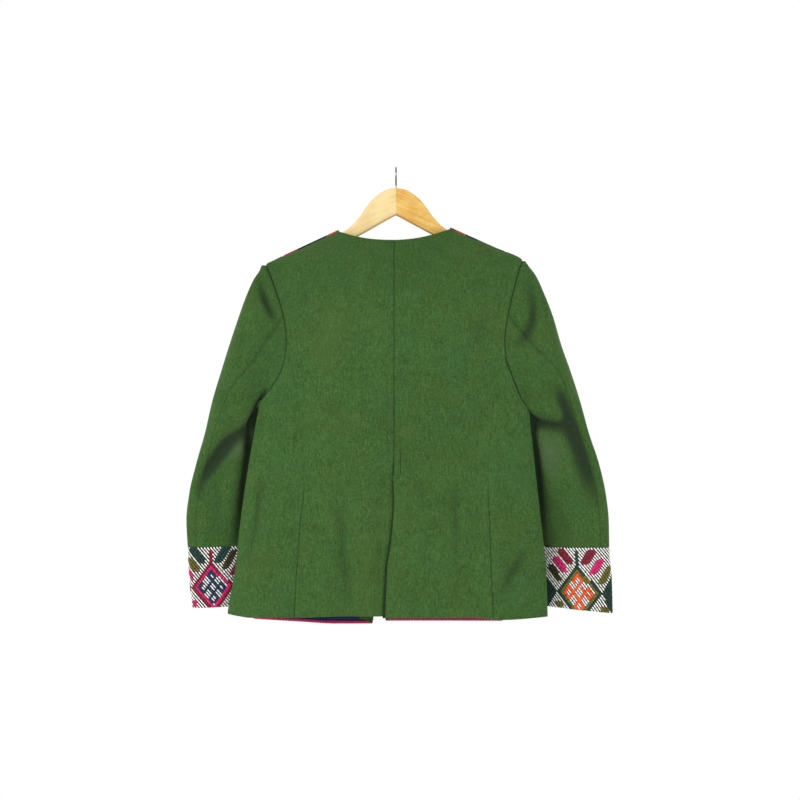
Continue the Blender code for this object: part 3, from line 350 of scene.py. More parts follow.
# Finer creases: each runs on a curve from its start over its middle to its end, as places across and down.
# Then come its left and right widths, as those of someone walking along it, and its height. A height below 0
# is a trough.
BACK_CREASES = (
    (-162.6, 421, -163, 434, -162, 447, 1.6, 1.6, -1.3),
    (115, 391, 116, 420, 114, 450, 2.2, 3.0, -1.2),
    (7.5, 452, 7, 468, 8, 487, 1.8, 2.4, -1.0),
    (-98, 510, -84, 610, -70, 718, 10, 8, -2.9),
    (-58, 560, -64, 640, -54, 718, 8, 9, 2.4),
    (-122, 560, -116, 640, -108, 716, 9, 9, 1.8),
    (-212, 492, -221, 545, -234, 622, 7, 8, -3.4),
    (-192, 500, -204, 560, -214, 660, 8, 8, 2.4),
    (-236, 560, -242, 600, -248, 650, 7, 8, 2.0),
    (92, 500, 96, 546, 95, 620, 8, 9, -2.8),
    (110, 500, 113, 560, 110, 640, 8, 9, 2.0),
    (30, 492, 38, 512, 42, 534, 12, 9, -2.4),
    (166, 676, 188, 641, 214, 602, 9, 11, -3.8),
    (160, 640, 176, 616, 196, 590, 8, 8, 2.2),
    (60, 600, 66, 650, 62, 700, 12, 12, 1.8),
    (-24, 500, -26, 600, -30, 700, 7, 9, -1.8),
    (-120, 300, -128, 350, -126, 400, 14, 20, 2.0),
    (128, 310, 134, 350, 131, 402, 18, 14, 2.0),
    (-150, 210, -130, 260, -96, 330, 14, 12, -1.8),
    (150, 214, 134, 262, 100, 330, 14, 12, -1.8),
    (-60, 170, -40, 200, -30, 240, 22, 22, 1.4),
    (70, 160, 55, 200, 42, 250, 24, 20, 1.4),
    (214, 520, 218, 580, 214, 640, 9, 8, 1.8),
)
CREASE_STEPS, CREASE_ENDS, CREASE_REACH, CREASE_FADE = 80, 0.12, 3.0, 7.0

# Soft unevenness of hanging cloth, in waves of a few lengths, each with its direction and its start
WAVE_LENGTHS = (38.0, 52.0, 71.0, 96.0, 130.0)
WAVE_HEIGHT, WAVES_EACH = 0.35, 3
chance = random.Random(11)
WAVES = [
    (length, chance.uniform(0, math.pi), chance.uniform(0, 2 * math.pi))
    for length in WAVE_LENGTHS
    for _ in range(WAVES_EACH)
]


def smooth_step(t):
    t = np.clip(t, 0.0, 1.0)
    return t * t * (3 - 2 * t)


def bell(distance, width):
    return np.exp(-((distance / width) ** 2))


def swell(along, ends):
    """1 in the middle of a crease and lower towards its ends."""
    return np.sin(math.pi * (ends + (1 - 2 * ends) * along))


LEAST_LENGTH = 1e-9


def unit(vectors):
    return vectors / np.maximum(np.linalg.norm(vectors, axis=-1, keepdims=True), LEAST_LENGTH)


def half_width(x, down):
    return np.where(x < 0, BODY.at(LEFT, down), BODY.at(RIGHT, down))


def depth_at(back, down):
    return np.where(back, BODY.at("back", down), BODY.at("front", down))


RIDGE_FROM, RIDGE_TO, RIDGE_POINTS = 60, 162, 800
RIDGE_DOWNS = np.linspace(RIDGE_FROM, RIDGE_TO, RIDGE_POINTS)


def ridge_down(side, out):
    """How far down the shoulder ridge lies at a distance from the hook's line."""
    return np.interp(out, BODY.at(side, RIDGE_DOWNS), RIDGE_DOWNS)


def fold_height(x, down):
    height = 0.0
    for middle, top, bottom, width, rise in BACK_FOLDS:
        fade = smooth_step((down - top) / FOLD_FADE) * smooth_step((bottom - down) / FOLD_FADE + 1)
        height = height + rise * fade * bell(x - middle, width)
    return height


def on_form(x, down, back):
    """Points of the outer cloth at places across and down, on the back where back is true."""
    x, down, back = np.broadcast_arrays(np.asarray(x, float), np.asarray(down, float), back)
    reach = np.minimum(np.abs(x) / half_width(x, down), 1.0)
    flat = np.sqrt(1 - reach**2)
    y = np.where(back, -1, 1) * depth_at(back, down) * flat + BODY.at("side_y", down) * reach**LEAN_POWER
    y = y - np.where(back, fold_height(x, down) * flat, 0.0)
    return np.stack((x, y, -down), axis=-1)


def form_parts(points):
    """Where points are across and down, how far from the side seams' lean, and the form's width there."""
    x, y, down = points[..., 0], points[..., 1], -points[..., 2]
    width = half_width(x, down)
    aside = y - BODY.at("side_y", down) * np.minimum(np.abs(x) / width, 1.0) ** LEAN_POWER
    return x, aside, down, width, aside < 0


def settle(points):
    """Points near the form, moved onto it: square to the hanger, but near the side seams outwards."""
    x, aside, down, width, back = form_parts(points)
    outward = smooth_step((np.abs(x) / width - SETTLE_FLAT) / (1 - SETTLE_FLAT))
    scale = 1 / np.maximum(np.hypot(x / width, aside / depth_at(back, down)), SETTLE_LEAST)
    return on_form(x * (1 + outward * (scale - 1)), down, back)


def form_normal(points):
    """The directions out of the form, from the slope of its sections."""
    x, aside, down, width, back = form_parts(points)
    depth = depth_at(back, down)
    width_slope = (half_width(x, down + 1) - half_width(x, down - 1)) / 2
    depth_slope = (depth_at(back, down + 1) - depth_at(back, down - 1)) / 2
    fall = x**2 * width_slope / width**3 + aside**2 * depth_slope / depth**3
    return unit(np.stack((x / width**2, aside / depth**2, fall), axis=-1))


def arm_share(angle):
    """How far down the armhole an angle round it is: 0 at the shoulder and 1 under the arm."""
    return (1 - np.cos(np.radians(angle))) / 2


def armhole(side, angle):
    """Points of the armhole seam. The angle runs from the shoulder down the back, under the arm and up."""
    angle = (np.asarray(angle, float) + 180) % 360 - 180
    share, top, bottom = arm_share(angle), ARM_TOP_DOWN[side], UNDERARM_DOWN[side]
    down = top + share * (bottom - top)
    line = BODY.at(side, top) + share * (BODY.at(side, bottom) - BODY.at(side, top))
    out = np.minimum(line - ARMHOLE_INSET.at(side, share), BODY.at(side, down))
    return on_form(side * out, down, angle >= 0)


# Rows and columns of the panels are numbered in coarse steps, and each step is split into finer ones
SIDE_STEPS, ARM_HIGH_STEPS, ARM_LOW_STEPS = 14, 6, 5
SHOULDER_WOOL_STEPS, SHOULDER_TEXTILE_STEPS, NECK_STEPS = 4, 5, 4
SHOULDER_STEPS = SHOULDER_WOOL_STEPS + SHOULDER_TEXTILE_STEPS
ROWS_EACH, BACK_COLUMNS_EACH, SIDE_COLUMNS_EACH = 7, 5, 6
CLOSE_TO_EDGE = np.array((0.2, 0.45))


def places(end, each):
    """Numbers from 0 to an end, each step split evenly, with closer ones at both ends for the rolls."""
    close = CLOSE_TO_EDGE / each
    return np.concatenate(([0], close, np.arange(1, end * each) / each, end - close[::-1], [end]))


def shares_along(points):
    lengths = np.linalg.norm(np.diff(points, axis=0), axis=1)
    return np.concatenate(([0.0], np.cumsum(lengths))) / lengths.sum()


def panel(side, hem, top, outer, inner, rows, turns=None):
    """A grid of points between four edges, settled onto the form inside them. Rows run from the hem up.

    The hem lies as the top does, or at turns round from the side seam."""
    if turns is None:
        x = outer[0, 0] + (inner[0, 0] - outer[0, 0]) * shares_along(top)
    else:
        reach = math.acos(abs(inner[0, 0]) / BODY.at(side, hem.at("down", inner[0, 0])))
        x = side * BODY.at(side, BACK_HEM[side].at("down", SIDE_SEAM_X[side])) * np.cos(reach * turns)
        x[-1] = inner[0, 0]
    bottom = on_form(x, hem.at("down", x), hem is BACK_HEM[side])
    up = (rows / rows[-1])[:, None]
    across = ((1 - up) * shares_along(bottom) + up * shares_along(top))[..., None]
    up = up[..., None]
    corners = (1 - up) * ((1 - across) * bottom[0] + across * bottom[-1])
    corners = corners + up * ((1 - across) * top[0] + across * top[-1])
    grid = (1 - across) * outer[:, None] + across * inner[:, None] + (1 - up) * bottom + up * top - corners
    grid[1:-1, 1:-1] = settle(grid[1:-1, 1:-1])
    return grid


def seam_between(side, rows, hem, top, line, end):
    """A seam of the back from the hem up to a point of the armhole, along a table of its distances out."""
    down = hem + (top - hem) * rows / SIDE_STEPS
    points = on_form(side * line.at(side, down), down, True)
    points[rows == SIDE_STEPS] = armhole(side, end)
    return points


def back_seam(side, rows):
    """The seam between the centre back and the side back."""
    hem = BACK_HEM[side].at("down", side * BACK_SEAM.at(side, BACK_SEAM.keys[-1]))
    return seam_between(side, rows, hem, -armhole(side, ARM_PANEL_ANGLE)[2], BACK_SEAM, ARM_PANEL_ANGLE)


def side_seam(side, rows):
    hem = BACK_HEM[side].at("down", SIDE_SEAM_X[side])
    return seam_between(side, rows, hem, UNDERARM_DOWN[side], BODY, 180)


def over_ridge(side, out, angle):
    """Where a line that goes straight over the shoulder ridge is, by the angle of the armhole beside it."""
    top = ridge_down(side, out)
    down = top + arm_share(angle) * (UNDERARM_DOWN[side] - top)
    return on_form(side * out, down, np.sin(np.radians(angle)) > 0)


def shoulder_seam(side, columns):
    """The shoulder seam just behind the ridge. Its columns are numbered from the armhole to the neck."""
    inner = (over_ridge(side, out[side], ARM_SEAM_ANGLE) for out in (TEXTILE_TOP_OUT, NECK_OUT))
    corners = np.array((armhole(side, ARM_SEAM_ANGLE), *inner))
    stops = (0, SHOULDER_WOOL_STEPS, SHOULDER_STEPS)
    drops = -corners[:, 2] - ridge_down(side, np.abs(corners[:, 0]))
    x = np.interp(columns, stops, corners[:, 0])
    return on_form(x, ridge_down(side, np.abs(x)) + np.interp(columns, stops, drops), True)


def back_neckline(side, shares):
    """The back neckline, from the shoulder seam to the centre back."""
    corner = over_ridge(side, NECK_OUT[side], ARM_SEAM_ANGLE)
    rise = (BACK_NECK_DOWN + corner[2]) * (1 - shares) ** BACK_NECK_ROUND[side]
    return on_form(CENTRE_BACK + (corner[0] - CENTRE_BACK) * (1 - shares), BACK_NECK_DOWN - rise, True)


def centre_back(side, rows):
    """The inner edge of a centre back panel with its vent extension, from the hem up to the neckline."""
    hem = BACK_HEM[side].at("down", VENT.at(side, VENT.keys[-1]))
    level = -armhole(side, ARM_PANEL_ANGLE)[2]
    down = np.interp(rows, (0, SIDE_STEPS, SIDE_STEPS + ARM_HIGH_STEPS), (hem, level, BACK_NECK_DOWN))
    return on_form(VENT.at(side, down), down, True)


def vent_shift(side, points):
    """How far a centre back panel is pushed in or lifted where the two lap at the vent."""
    x, down = points[..., 0], -points[..., 2]
    beyond = CENTRE_BACK - x if side == LEFT else x - VENT.at(RIGHT, down)
    near = smooth_step(1 - np.maximum(0.0, beyond) / VENT_PUSH_SPREAD)
    return near * (VENT.at("under_push", down) if side == LEFT else -VENT.at("over_lift", down))


def crease_height(creases, points):
    """How far the creases of a table lift or sink each point, seen square to the hanger."""
    place = points[..., (0, 2)] * (1, -1)
    height = np.zeros(place.shape[:-1])
    t = np.linspace(0, 1, CREASE_STEPS)[:, None]
    for *curve, left_width, right_width, rise in creases:
        start, middle, end = np.reshape(curve, (3, 2))
        line = (1 - t) ** 2 * start + 2 * t * (1 - t) * (2 * middle - (start + end) / 2) + t**2 * end
        run = np.gradient(line, axis=0)
        reach = CREASE_REACH * max(left_width, right_width)
        near = ((place > line.min(axis=0) - reach) & (place < line.max(axis=0) + reach)).all(axis=-1)
        offsets = place[near][:, None] - line
        distances = np.linalg.norm(offsets, axis=2)
        nearest = distances.argmin(axis=1)
        offset = offsets[np.arange(len(nearest)), nearest]
        turn = run[nearest, 0] * offset[:, 1] - run[nearest, 1] * offset[:, 0]
        width = np.where(turn < 0, left_width, right_width)
        height[near] += rise * swell(t[nearest, 0], CREASE_ENDS) * bell(distances.min(axis=1), width)
    return height


def waver(points):
    """The soft unevenness of the cloth at each point."""
    x, down = points[..., 0], points[..., 2] + points[..., 1]
    waves = (
        np.sin((x * math.cos(turn) + down * math.sin(turn)) * 2 * math.pi / length + start)
        for length, turn, start in WAVES
    )
    return sum(waves) * WAVE_HEIGHT / math.sqrt(len(WAVES))


# The edges of a grid: which way its lines run to the edge, and whether the edge is at their end
HEM, TOP, OUTER, INNER = (0, False), (0, True), (1, False), (1, True)


def from_edge(grid, edge):
    """How far each point is from one edge of its grid, along the grid's lines."""
    axis, last = edge
    grid = np.flip(grid, axis) if last else grid
    steps = np.linalg.norm(np.diff(grid, axis=axis), axis=2)
    lengths = np.concatenate((np.zeros_like(steps.take([0], axis)), np.cumsum(steps, axis=axis)), axis=axis)
    return np.flip(lengths, axis) if last else lengths


def closed_round(index):
    """Numbers of points with the first column again after the last one."""
    return np.concatenate((index, index[..., :1]), axis=-1)


def quads(index):
    """The faces between neighbouring points of a grid of point numbers."""
    corners = (index[..., :-1, :-1], index[..., :-1, 1:], index[..., 1:, 1:], index[..., 1:, :-1])
    return np.stack(corners, axis=-1).reshape(-1, 4)


def wall_faces(index, closed):
    """The faces of a wall whose outer points have these numbers and whose inner points follow them."""
    inside = index.size
    index = closed_round(index) if closed else index
    faces = [quads(index), quads(index)[:, ::-1] + inside]
    edges = [(index[0, 1:], index[0, :-1]), (index[-1, :-1], index[-1, 1:])]
    if not closed:
        edges += [(index[:-1, 0], index[1:, 0]), (index[1:, -1], index[:-1, -1])]
    faces += [np.stack((start, end, end + inside, start + inside), axis=-1) for start, end in edges]
    return np.concatenate(faces)


def mesh_object(name, points, faces, finish, marks=None):
    """An object from points in millimetres. Marks are values at its points that its finish reads by name."""
    mesh = bpy.data.meshes.new(name)
    mesh.from_pydata((np.asarray(points) * MM).tolist(), [], [list(map(int, face)) for face in faces])
    for mark, values in (marks or {}).items():
        attribute = mesh.attributes.new(mark, "FLOAT", "POINT")
        attribute.data.foreach_set("value", np.asarray(values, np.float32))
    mesh.materials.append(finish)
    mesh.shade_smooth()
    mesh.set_sharp_from_angle(angle=SHARP_ANGLE)
    return stand(name, mesh)


def dress(piece, node=None):
    """Lets a piece ride on the part's one body and stand for its solid, which it hides."""
    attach(piece, "root")
    if node:
        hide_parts(node)


def edge_roll(grid, edges):
    """How far each point near the rolled edges lies below the cloth's face, and a mark from 0 to 1 for its
    dark line and painted shade.
    """
    sink, mark = np.zeros(grid.shape[:2]), np.zeros(grid.shape[:2])
    for edge, kinds in edges.items():
        kinds = np.asarray(kinds, float)
        kinds = np.expand_dims(kinds, edge[0]) if kinds.ndim > 1 else kinds
        depth, dark, width = np.moveaxis(kinds, -1, 0)
        distance = from_edge(grid, edge)
        sink = np.maximum(sink, depth * bell(distance, ROLL_WIDTH))
        mark = np.maximum(mark, dark * bell(distance, width))
    return sink, mark


def add_cloth(name, grid, normals, edges, lift, finish, thickness=WOOL_THICKNESS, closed=False, painted_sheen=0.0):
    """One piece of cloth as a thin closed wall, with rolled edges, its creases, and painted shade in its
    hollows and seams.
    """
    sink, mark = edge_roll(grid, edges)
    outer = grid + normals * (lift - sink)[..., None]
    points = np.concatenate((outer.reshape(-1, 3), (outer - normals * thickness).reshape(-1, 3)))
    faces = wall_faces(np.arange(mark.size).reshape(mark.shape), closed)
    count = (grid.shape[0] - 1) * (grid.shape[1] - (0 if closed else 1))
    corners = points[faces[:count, :3]]
    out = np.cross(corners[:, 1] - corners[:, 0], corners[:, 2] - corners[:, 1])
    if (out * normals.reshape(-1, 3)[faces[:count, 0]]).sum() < 0:
        faces = faces[:, ::-1]
    # Painted shade in the troughs of the creases
    fold_shade = smooth_step(-lift / PAINTED_FOLD_SHADE_DEPTH)
    marks = {"seam": mark, "fold_shade": fold_shade, "painted_sheen": np.broadcast_to(painted_sheen, mark.shape)}
    marks = {kind: np.tile(values.ravel(), 2) for kind, values in marks.items()}
    marks["inside"] = np.repeat((0.0, 1.0), mark.size)
    return mesh_object(name, points, faces, finish, marks)


def declare_sheet(grid, closed=False):
    """Measures the widest row and the longest column of a panel, in metres; nothing uses them."""
    if closed:
        grid = np.concatenate((grid, grid[:, :1]), axis=1)
    width, length = (
        np.linalg.norm(np.diff(grid, axis=axis), axis=2).sum(axis=axis).max() * MM for axis in (1, 0)
    )


RIM_BLEND = 6.0


def blend_rims(normals, grid, edge, rim_normals):
    """Turns the directions out of a piece near one edge towards those that the two sides of a seam share."""
    near = bell(from_edge(grid, edge), RIM_BLEND)[..., None]
    return unit(normals * (1 - near) + np.expand_dims(rim_normals, edge[0]) * near)


# The form of the sleeves, which the body's armholes share: outer and inner edges and depths of their sections
SLEEVE_COLUMNS = (
    "share", "outer_y", "inner_y", "half_depth",
    *((side, edge) for side in (LEFT, RIGHT) for edge in ("outer", "outer_down", "inner", "inner_down")),
)
SLEEVE = Table(
    SLEEVE_COLUMNS,
    (0.00, 0, 0, 24, 210, 155, 219, 376, 208, 148, 215, 387),
    (0.06, 0, 12, 30, 226, 173, 222, 383, 226, 170, 219, 392),
    (0.12, 1, 22, 34, 240, 203, 219, 390, 239.5, 201, 215, 399),
    (0.20, 3, 28, 36, 253, 240, 217, 401, 252, 236, 211, 410),
    (0.30, 5, 34, 37, 267, 283, 216, 418, 264, 280, 208, 428),
    (0.40, 7, 38, 36, 280, 325, 215, 443, 280, 326, 207, 450),
    (0.50, 9, 42, 33, 294, 372, 215, 470, 295, 373, 208, 476),
    (0.60, 10, 45, 29, 306, 424, 217, 503, 309, 424, 211, 506),
    (0.70, 11, 46, 26, 320, 473, 220, 536, 325, 472, 217, 538),
    (0.80, 12, 46, 23, 331, 519, 224, 568, 336, 520, 223, 569),
    (0.90, 13, 45, 20, 336, 563, 227, 592, 341, 563, 229, 592),
    (1.00, 14, 43, 17, 334, 607, 229, 604, 342, 607, 234, 607),
)
# Where the sleeves' seams run round them: the back seam of each, and the front seam of both, in degrees
SLEEVE_SEAMS = Table(
    ("share", LEFT, RIGHT, "front"),
    (0.0, 76.7, 76.7, 237.6), (0.06, 86, 82, 237), (0.15, 86, 78, 236), (0.25, 78, 65, 235),
    (0.36, 62, 46, 235), (0.45, 49, 39, 235), (0.6, 38, 36, 235), (1.0, 41, 40, 235),
)
SLEEVE_ROUND = 2.3
SLEEVE_LENGTH, SLEEVE_GIRTH = 460.0, 280.0
ARMHOLE_BLEND = 0.34
# Large soft hollows: where each starts and ends, as a share of the length and an angle, its width and depth
SLEEVE_HOLLOWS = {
    LEFT: ((0.46, 128, 0.78, 62, 10, 3.5), (0.10, 30, 0.26, 64, 9, 2.0)),
    RIGHT: ((0.34, 112, 0.60, 70, 11, 5.0), (0.66, 60, 0.80, 50, 10, 3.5), (0.10, 26, 0.24, 60, 9, 2.0)),
}
HOLLOW_ENDS = 0.15
SLEEVE_STEPS, ROUND_ARM_STEPS = 13, 26
SLEEVE_ROWS_EACH, SLEEVE_COLUMNS_EACH = 12, 5


def arm_angle(columns):
    """The angle round the armhole at a column, in coarse steps from the top of the shoulder once round."""
    back = (0, ARM_RIDGE_ANGLE, ARM_SEAM_ANGLE, ARM_PANEL_ANGLE, 180)
    stops = (0, 1, 2, 2 + ARM_HIGH_STEPS, 2 + ARM_HIGH_STEPS + ARM_LOW_STEPS)
    stops += tuple(ROUND_ARM_STEPS - stop for stop in stops[-2::-1])
    return np.interp(columns, stops, back + tuple(360 - angle for angle in back[-2::-1]))


def sleeve_angle(side, share, angle):
    """An angle round the armhole, carried down the sleeve so that the seams stay on their columns."""
    back, front = (SLEEVE_SEAMS.at(name, share) - SLEEVE_SEAMS.at(name, 0) for name in (side, "front"))
    ends = (0.0, SLEEVE_SEAMS.at(side, 0), 180.0, SLEEVE_SEAMS.at("front", 0), 360.0)
    shifts = np.stack((0 * share, back, 0 * share, front, 0 * share), axis=-1)
    return np.stack([angle + np.interp(angle, ends, shift) for shift in shifts])


def rounded(value, squareness):
    """A cosine or sine drawn out so that the round that it makes is nearer to a rectangle."""
    return np.copysign(np.abs(value) ** (2 / squareness), value)


def ring_points(table, side, share, turned, proud):
    """Points of a sleeve's rounded oblong sections: the outer edge is at 0 and the back at 90 degrees."""
    outer, inner = (
        np.stack((side * table.at((side, edge), share), table.at(edge + "_y", share),
                  -table.at((side, edge + "_down"), share)), axis=-1)
        for edge in ("outer", "inner")
    )
    centre, long_axis = (outer + inner) / 2, (outer - inner) / 2
    length = np.linalg.norm(long_axis, axis=-1, keepdims=True)
    backward = np.array((0.0, -1.0, 0.0))
    backward = unit(backward - long_axis * (long_axis @ backward)[:, None] / length**2)
    turn = np.radians(turned)[..., None]
    proud = np.broadcast_to(proud, turned.shape)[..., None]
    along = long_axis[:, None] * (1 + proud / length[:, None]) * rounded(np.cos(turn), SLEEVE_ROUND)
    depth = table.at("half_depth", share)[:, None, None] + proud
    return centre[:, None] + along + backward[:, None] * depth * rounded(np.sin(turn), SLEEVE_ROUND)


def hollow_depth(side, share, turned):
    """How far the large soft hollows of a sleeve sink it."""
    depth = np.zeros(turned.shape)
    place = np.stack((np.broadcast_to(share[:, None], turned.shape), turned / 360), axis=-1)
    for start_share, start_angle, end_share, end_angle, width, sink in SLEEVE_HOLLOWS[side]:
        start = np.array((start_share, start_angle / 360))
        run = np.array((end_share, end_angle / 360)) - start
        along = np.clip((place - start) @ run / (run @ run), 0, 1)
        off = (place - start - run * along[..., None]) * (SLEEVE_LENGTH, SLEEVE_GIRTH)
        depth += sink * swell(along, HOLLOW_ENDS) * bell(np.hypot(off[..., 0], off[..., 1]), width)
    return depth


def grid_normals(grid):
    """The directions out of a tube of points whose columns close into a ring."""
    across = np.roll(grid, -1, axis=1) - np.roll(grid, 1, axis=1)
    normals = unit(np.cross(across, np.gradient(grid, axis=0)))
    inside_out = ((grid - grid.mean(axis=1, keepdims=True)) * normals).sum() < 0
    return -normals if inside_out else normals


def sleeve_grid(side):
    """The angles round the armhole, outer points and directions of a sleeve, from the armhole to the cuff."""
    angle = arm_angle(np.arange(ROUND_ARM_STEPS * SLEEVE_COLUMNS_EACH) / SLEEVE_COLUMNS_EACH)
    share = places(SLEEVE_STEPS, SLEEVE_ROWS_EACH) / SLEEVE_STEPS
    turned = sleeve_angle(side, share, angle)
    ring = ring_points(SLEEVE, side, share, turned, -hollow_depth(side, share, turned) * (share > 0)[:, None])
    start = ring_points(SLEEVE, side, share[:1], angle[None], 0.0)
    hold = np.maximum(0.0, 1 - share / ARMHOLE_BLEND) ** 2
    grid = ring + (armhole(side, angle) - start[0]) * hold[:, None, None]
    normals = grid_normals(grid)
    shared = unit(normals[0] + form_normal(grid[0]))
    return angle, grid, blend_rims(normals, grid, HEM, shared), shared


SLEEVES = {side: sleeve_grid(side) for side in (LEFT, RIGHT)}


def rim_normals(side, angle):
    """The directions out of the cloth along the armhole seam, shared by the body and the sleeve."""
    angles, _, _, shared = SLEEVES[side]
    parts = [np.interp(angle % 360, angles, part, period=360) for part in shared.T]
    return unit(np.stack(parts, axis=-1))


def outer_rim_blended(side, grid, rows, angle):
    """The directions out of a panel that meets the armhole above its side steps."""
    normals = form_normal(grid)
    shared = normals[:, 0].copy()
    shared[rows >= SIDE_STEPS] = rim_normals(side, angle[rows >= SIDE_STEPS])
    return blend_rims(normals, grid, OUTER, shared)


PANEL_FACING = 0.4


def add_panel(name, node, grid, normals, edges, creases, finish=wool, fade=1.0):
    """One panel of the body: cloth on the form, raised and sunk by its creases, standing for its solid."""
    facing = smooth_step(np.abs(normals[..., 1]) * 2 - PANEL_FACING)
    lift = (crease_height(creases, grid) * fade + waver(grid)) * facing
    piece = add_cloth(name, grid, normals, edges, lift, finish)
    dress(piece, node)
    declare_sheet(grid)


def back_grid(side):
    rows = places(SIDE_STEPS + ARM_HIGH_STEPS, ROWS_EACH)
    columns = places(SHOULDER_STEPS + NECK_STEPS, BACK_COLUMNS_EACH)
    arm = np.interp(rows, (SIDE_STEPS, SIDE_STEPS + ARM_HIGH_STEPS), (ARM_PANEL_ANGLE, ARM_SEAM_ANGLE))
    outer = back_seam(side, rows)
    outer[rows > SIDE_STEPS] = armhole(side, arm[rows > SIDE_STEPS])
    top = shoulder_seam(side, np.minimum(columns, SHOULDER_STEPS))
    past = columns > SHOULDER_STEPS
    top[past] = back_neckline(side, (columns[past] - SHOULDER_STEPS) / NECK_STEPS)
    grid = panel(side, BACK_HEM[side], top, outer, centre_back(side, rows), rows)
    normals = outer_rim_blended(side, grid, rows, arm)
    grid[..., 1] += vent_shift(side, grid)
    return grid, normals


def side_back_grid(side):
    rows = places(SIDE_STEPS, ROWS_EACH)
    turns = places(ARM_LOW_STEPS, SIDE_COLUMNS_EACH) / ARM_LOW_STEPS
    angle = 180 + (ARM_PANEL_ANGLE - 180) * turns
    edges = armhole(side, angle), side_seam(side, rows), back_seam(side, rows)
    grid = panel(side, BACK_HEM[side], *edges, rows, turns)
    return grid, blend_rims(form_normal(grid), grid, TOP, rim_normals(side, angle))


def edge_kinds(points, level, above, below):
    """The kind of edge at each point of a line, which changes at a level."""
    return np.where((-points[:, 2] < level)[:, None], above, below)


def away_from(grid, edge):
    """0 at one edge of a grid and 1 well away from it."""
    return 1 - bell(from_edge(grid, edge), CREASE_FADE)


for name, side in SIDES.items():
    grid, normals = back_grid(side)
    junction = -armhole(side, ARM_PANEL_ANGLE)[2]
    # The over panel's edge at the vent: its roll, and painted shadow that grows wider towards the hem
    along_vent = smooth_step((-grid[:, -1:, 2] - VENT.keys[1]) / (VENT.keys[-1] - VENT.keys[1]))
    vent_shadow_edge = VENT_SHADOW_EDGE_TOP + along_vent * np.subtract(VENT_SHADOW_EDGE_FOOT, VENT_SHADOW_EDGE_TOP)
    seam = edge_kinds(grid[:, 0], PANEL_CRISP_FROM, PANEL_EDGE_HIGH, PANEL_EDGE)
    below = vent_shadow_edge if side == RIGHT else HEM_EDGE
    edges = {HEM: HEM_EDGE, TOP: SHOULDER_EDGE, OUTER: edge_kinds(grid[:, 0], junction, ARMHOLE_EDGE, seam),
             INNER: edge_kinds(grid[:, -1], VENT.keys[1], CENTRE_EDGE, below)}
    add_panel("wool_back_" + name, "back_" + name, grid, normals, edges, BACK_CREASES)
    grid, normals = side_back_grid(side)
    seam = edge_kinds(grid[:, -1], PANEL_CRISP_FROM, PANEL_EDGE_HIGH, PANEL_EDGE)
    edges = {HEM: HEM_EDGE, TOP: UNDERARM_EDGE, OUTER: PANEL_EDGE, INNER: seam}
    add_panel("wool_side_back_" + name, "side_back_" + name, grid, normals, edges, BACK_CREASES,
              fade=away_from(grid, TOP))


# The fronts: a panel of striped textile from the shoulder to the hem with a strip of its own width over the
# ridge, a side panel of wool beside it, and a narrow wool facing inside the open edge. From behind only the
# strip on the shoulder and the lowest few millimetres of the inside show.
FRONT_SEAM = Table(
    ("down", LEFT, RIGHT),
    (140, 183, 177), (200, 168, 163), (290, 150, 145), (380, 160, 148), (500, 188, 158), (620, 213, 167),
    (722, 229, 171),
)
FRONT_SEAM_TURN = 7.0
FRONT_EDGE = Table(
    ("down", LEFT, RIGHT),
    (102, -92, 87), (130, -86, 81), (165, -73, 68), (200, -54, 49), (230, -31, 26), (252, -8, 4),
    (480, -20, -5), (728, -37, -18),
)
FRONT_NECK_DOWN = 252.0
FRONT_HEM = {
    LEFT: Table(("x", "down"), (-270, 712), (-229, 716.5), (-153, 722), (-96, 725.5), (-30, 725.5)),
    RIGHT: Table(("x", "down"), (-20, 721), (171, 720.5), (243, 716.5)),
}
FRONT_OPEN_STEPS, FRONT_ARM_STEPS, RIDGE_STEP = 16, 15, 12
FRONT_STEPS = SIDE_STEPS + FRONT_ARM_STEPS
FRONT_ROWS_EACH, FRONT_COLUMNS_EACH = 5, 7
FRONT_CREASES = (
    (-226, 460, -232, 540, -236, 640, 12, 16, 2.2),
    (-205, 470, -208, 560, -212, 660, 12, 12, -2.0),
    (196, 470, 203, 560, 207, 640, 13, 12, 2.2),
    (-120, 290, -100, 420, -96, 560, 16, 22, 1.8),
    (96, 300, 84, 430, 88, 580, 20, 16, 1.8),
    (-60, 420, -66, 540, -70, 690, 14, 18, -1.6),
    (44, 430, 50, 560, 54, 690, 18, 12, -1.6),
    (-176, 330, -196, 380, -206, 440, 9, 14, 2.0),
    (170, 330, 190, 384, 200, 446, 13, 9, 2.0),
)
FACING_THICKNESS, FACING_WIDTH, FACING_CLEARANCE, FACING_INSET, FACING_CORNER_DROP = 1.0, 22.0, 0.5, 1.0, 4.0
FACING_EDGE = (0.2, 0.0, 0.6)
FACING_STEPS, FACING_COLUMNS_EACH = 2, 4


def front_angle(rows):
    """The angle of the armhole point that lies level with a row above the side seam."""
    ridge = (-ARM_SEAM_ANGLE, -ARM_RIDGE_ANGLE, 0, ARM_RIDGE_ANGLE, ARM_SEAM_ANGLE)
    stops = (0, ARM_LOW_STEPS, ARM_LOW_STEPS + ARM_HIGH_STEPS, *range(RIDGE_STEP, FRONT_ARM_STEPS + 1))
    angles = (180, 360 - ARM_PANEL_ANGLE, *(360 + angle for angle in ridge))
    return np.interp(rows - SIDE_STEPS, stops, angles)


def front_seam(side, rows):
    """The seam between the textile front and the side front, from the hem up and over the ridge."""
    hem = FRONT_HEM[side].at("down", side * FRONT_SEAM.at(side, FRONT_SEAM.keys[-1]))
    angle, bottom = front_angle(rows), UNDERARM_DOWN[side]
    top = ridge_down(side, TEXTILE_TOP_OUT[side])
    above = rows > SIDE_STEPS
    down = np.where(above, top + arm_share(angle) * (bottom - top), hem + (bottom - hem) * rows / SIDE_STEPS)
    turned = above & (down - top < FRONT_SEAM_TURN)
    out = np.where(turned, TEXTILE_TOP_OUT[side], FRONT_SEAM.at(side, down))
    return on_form(side * out, down, above & (np.sin(np.radians(angle)) > 0))


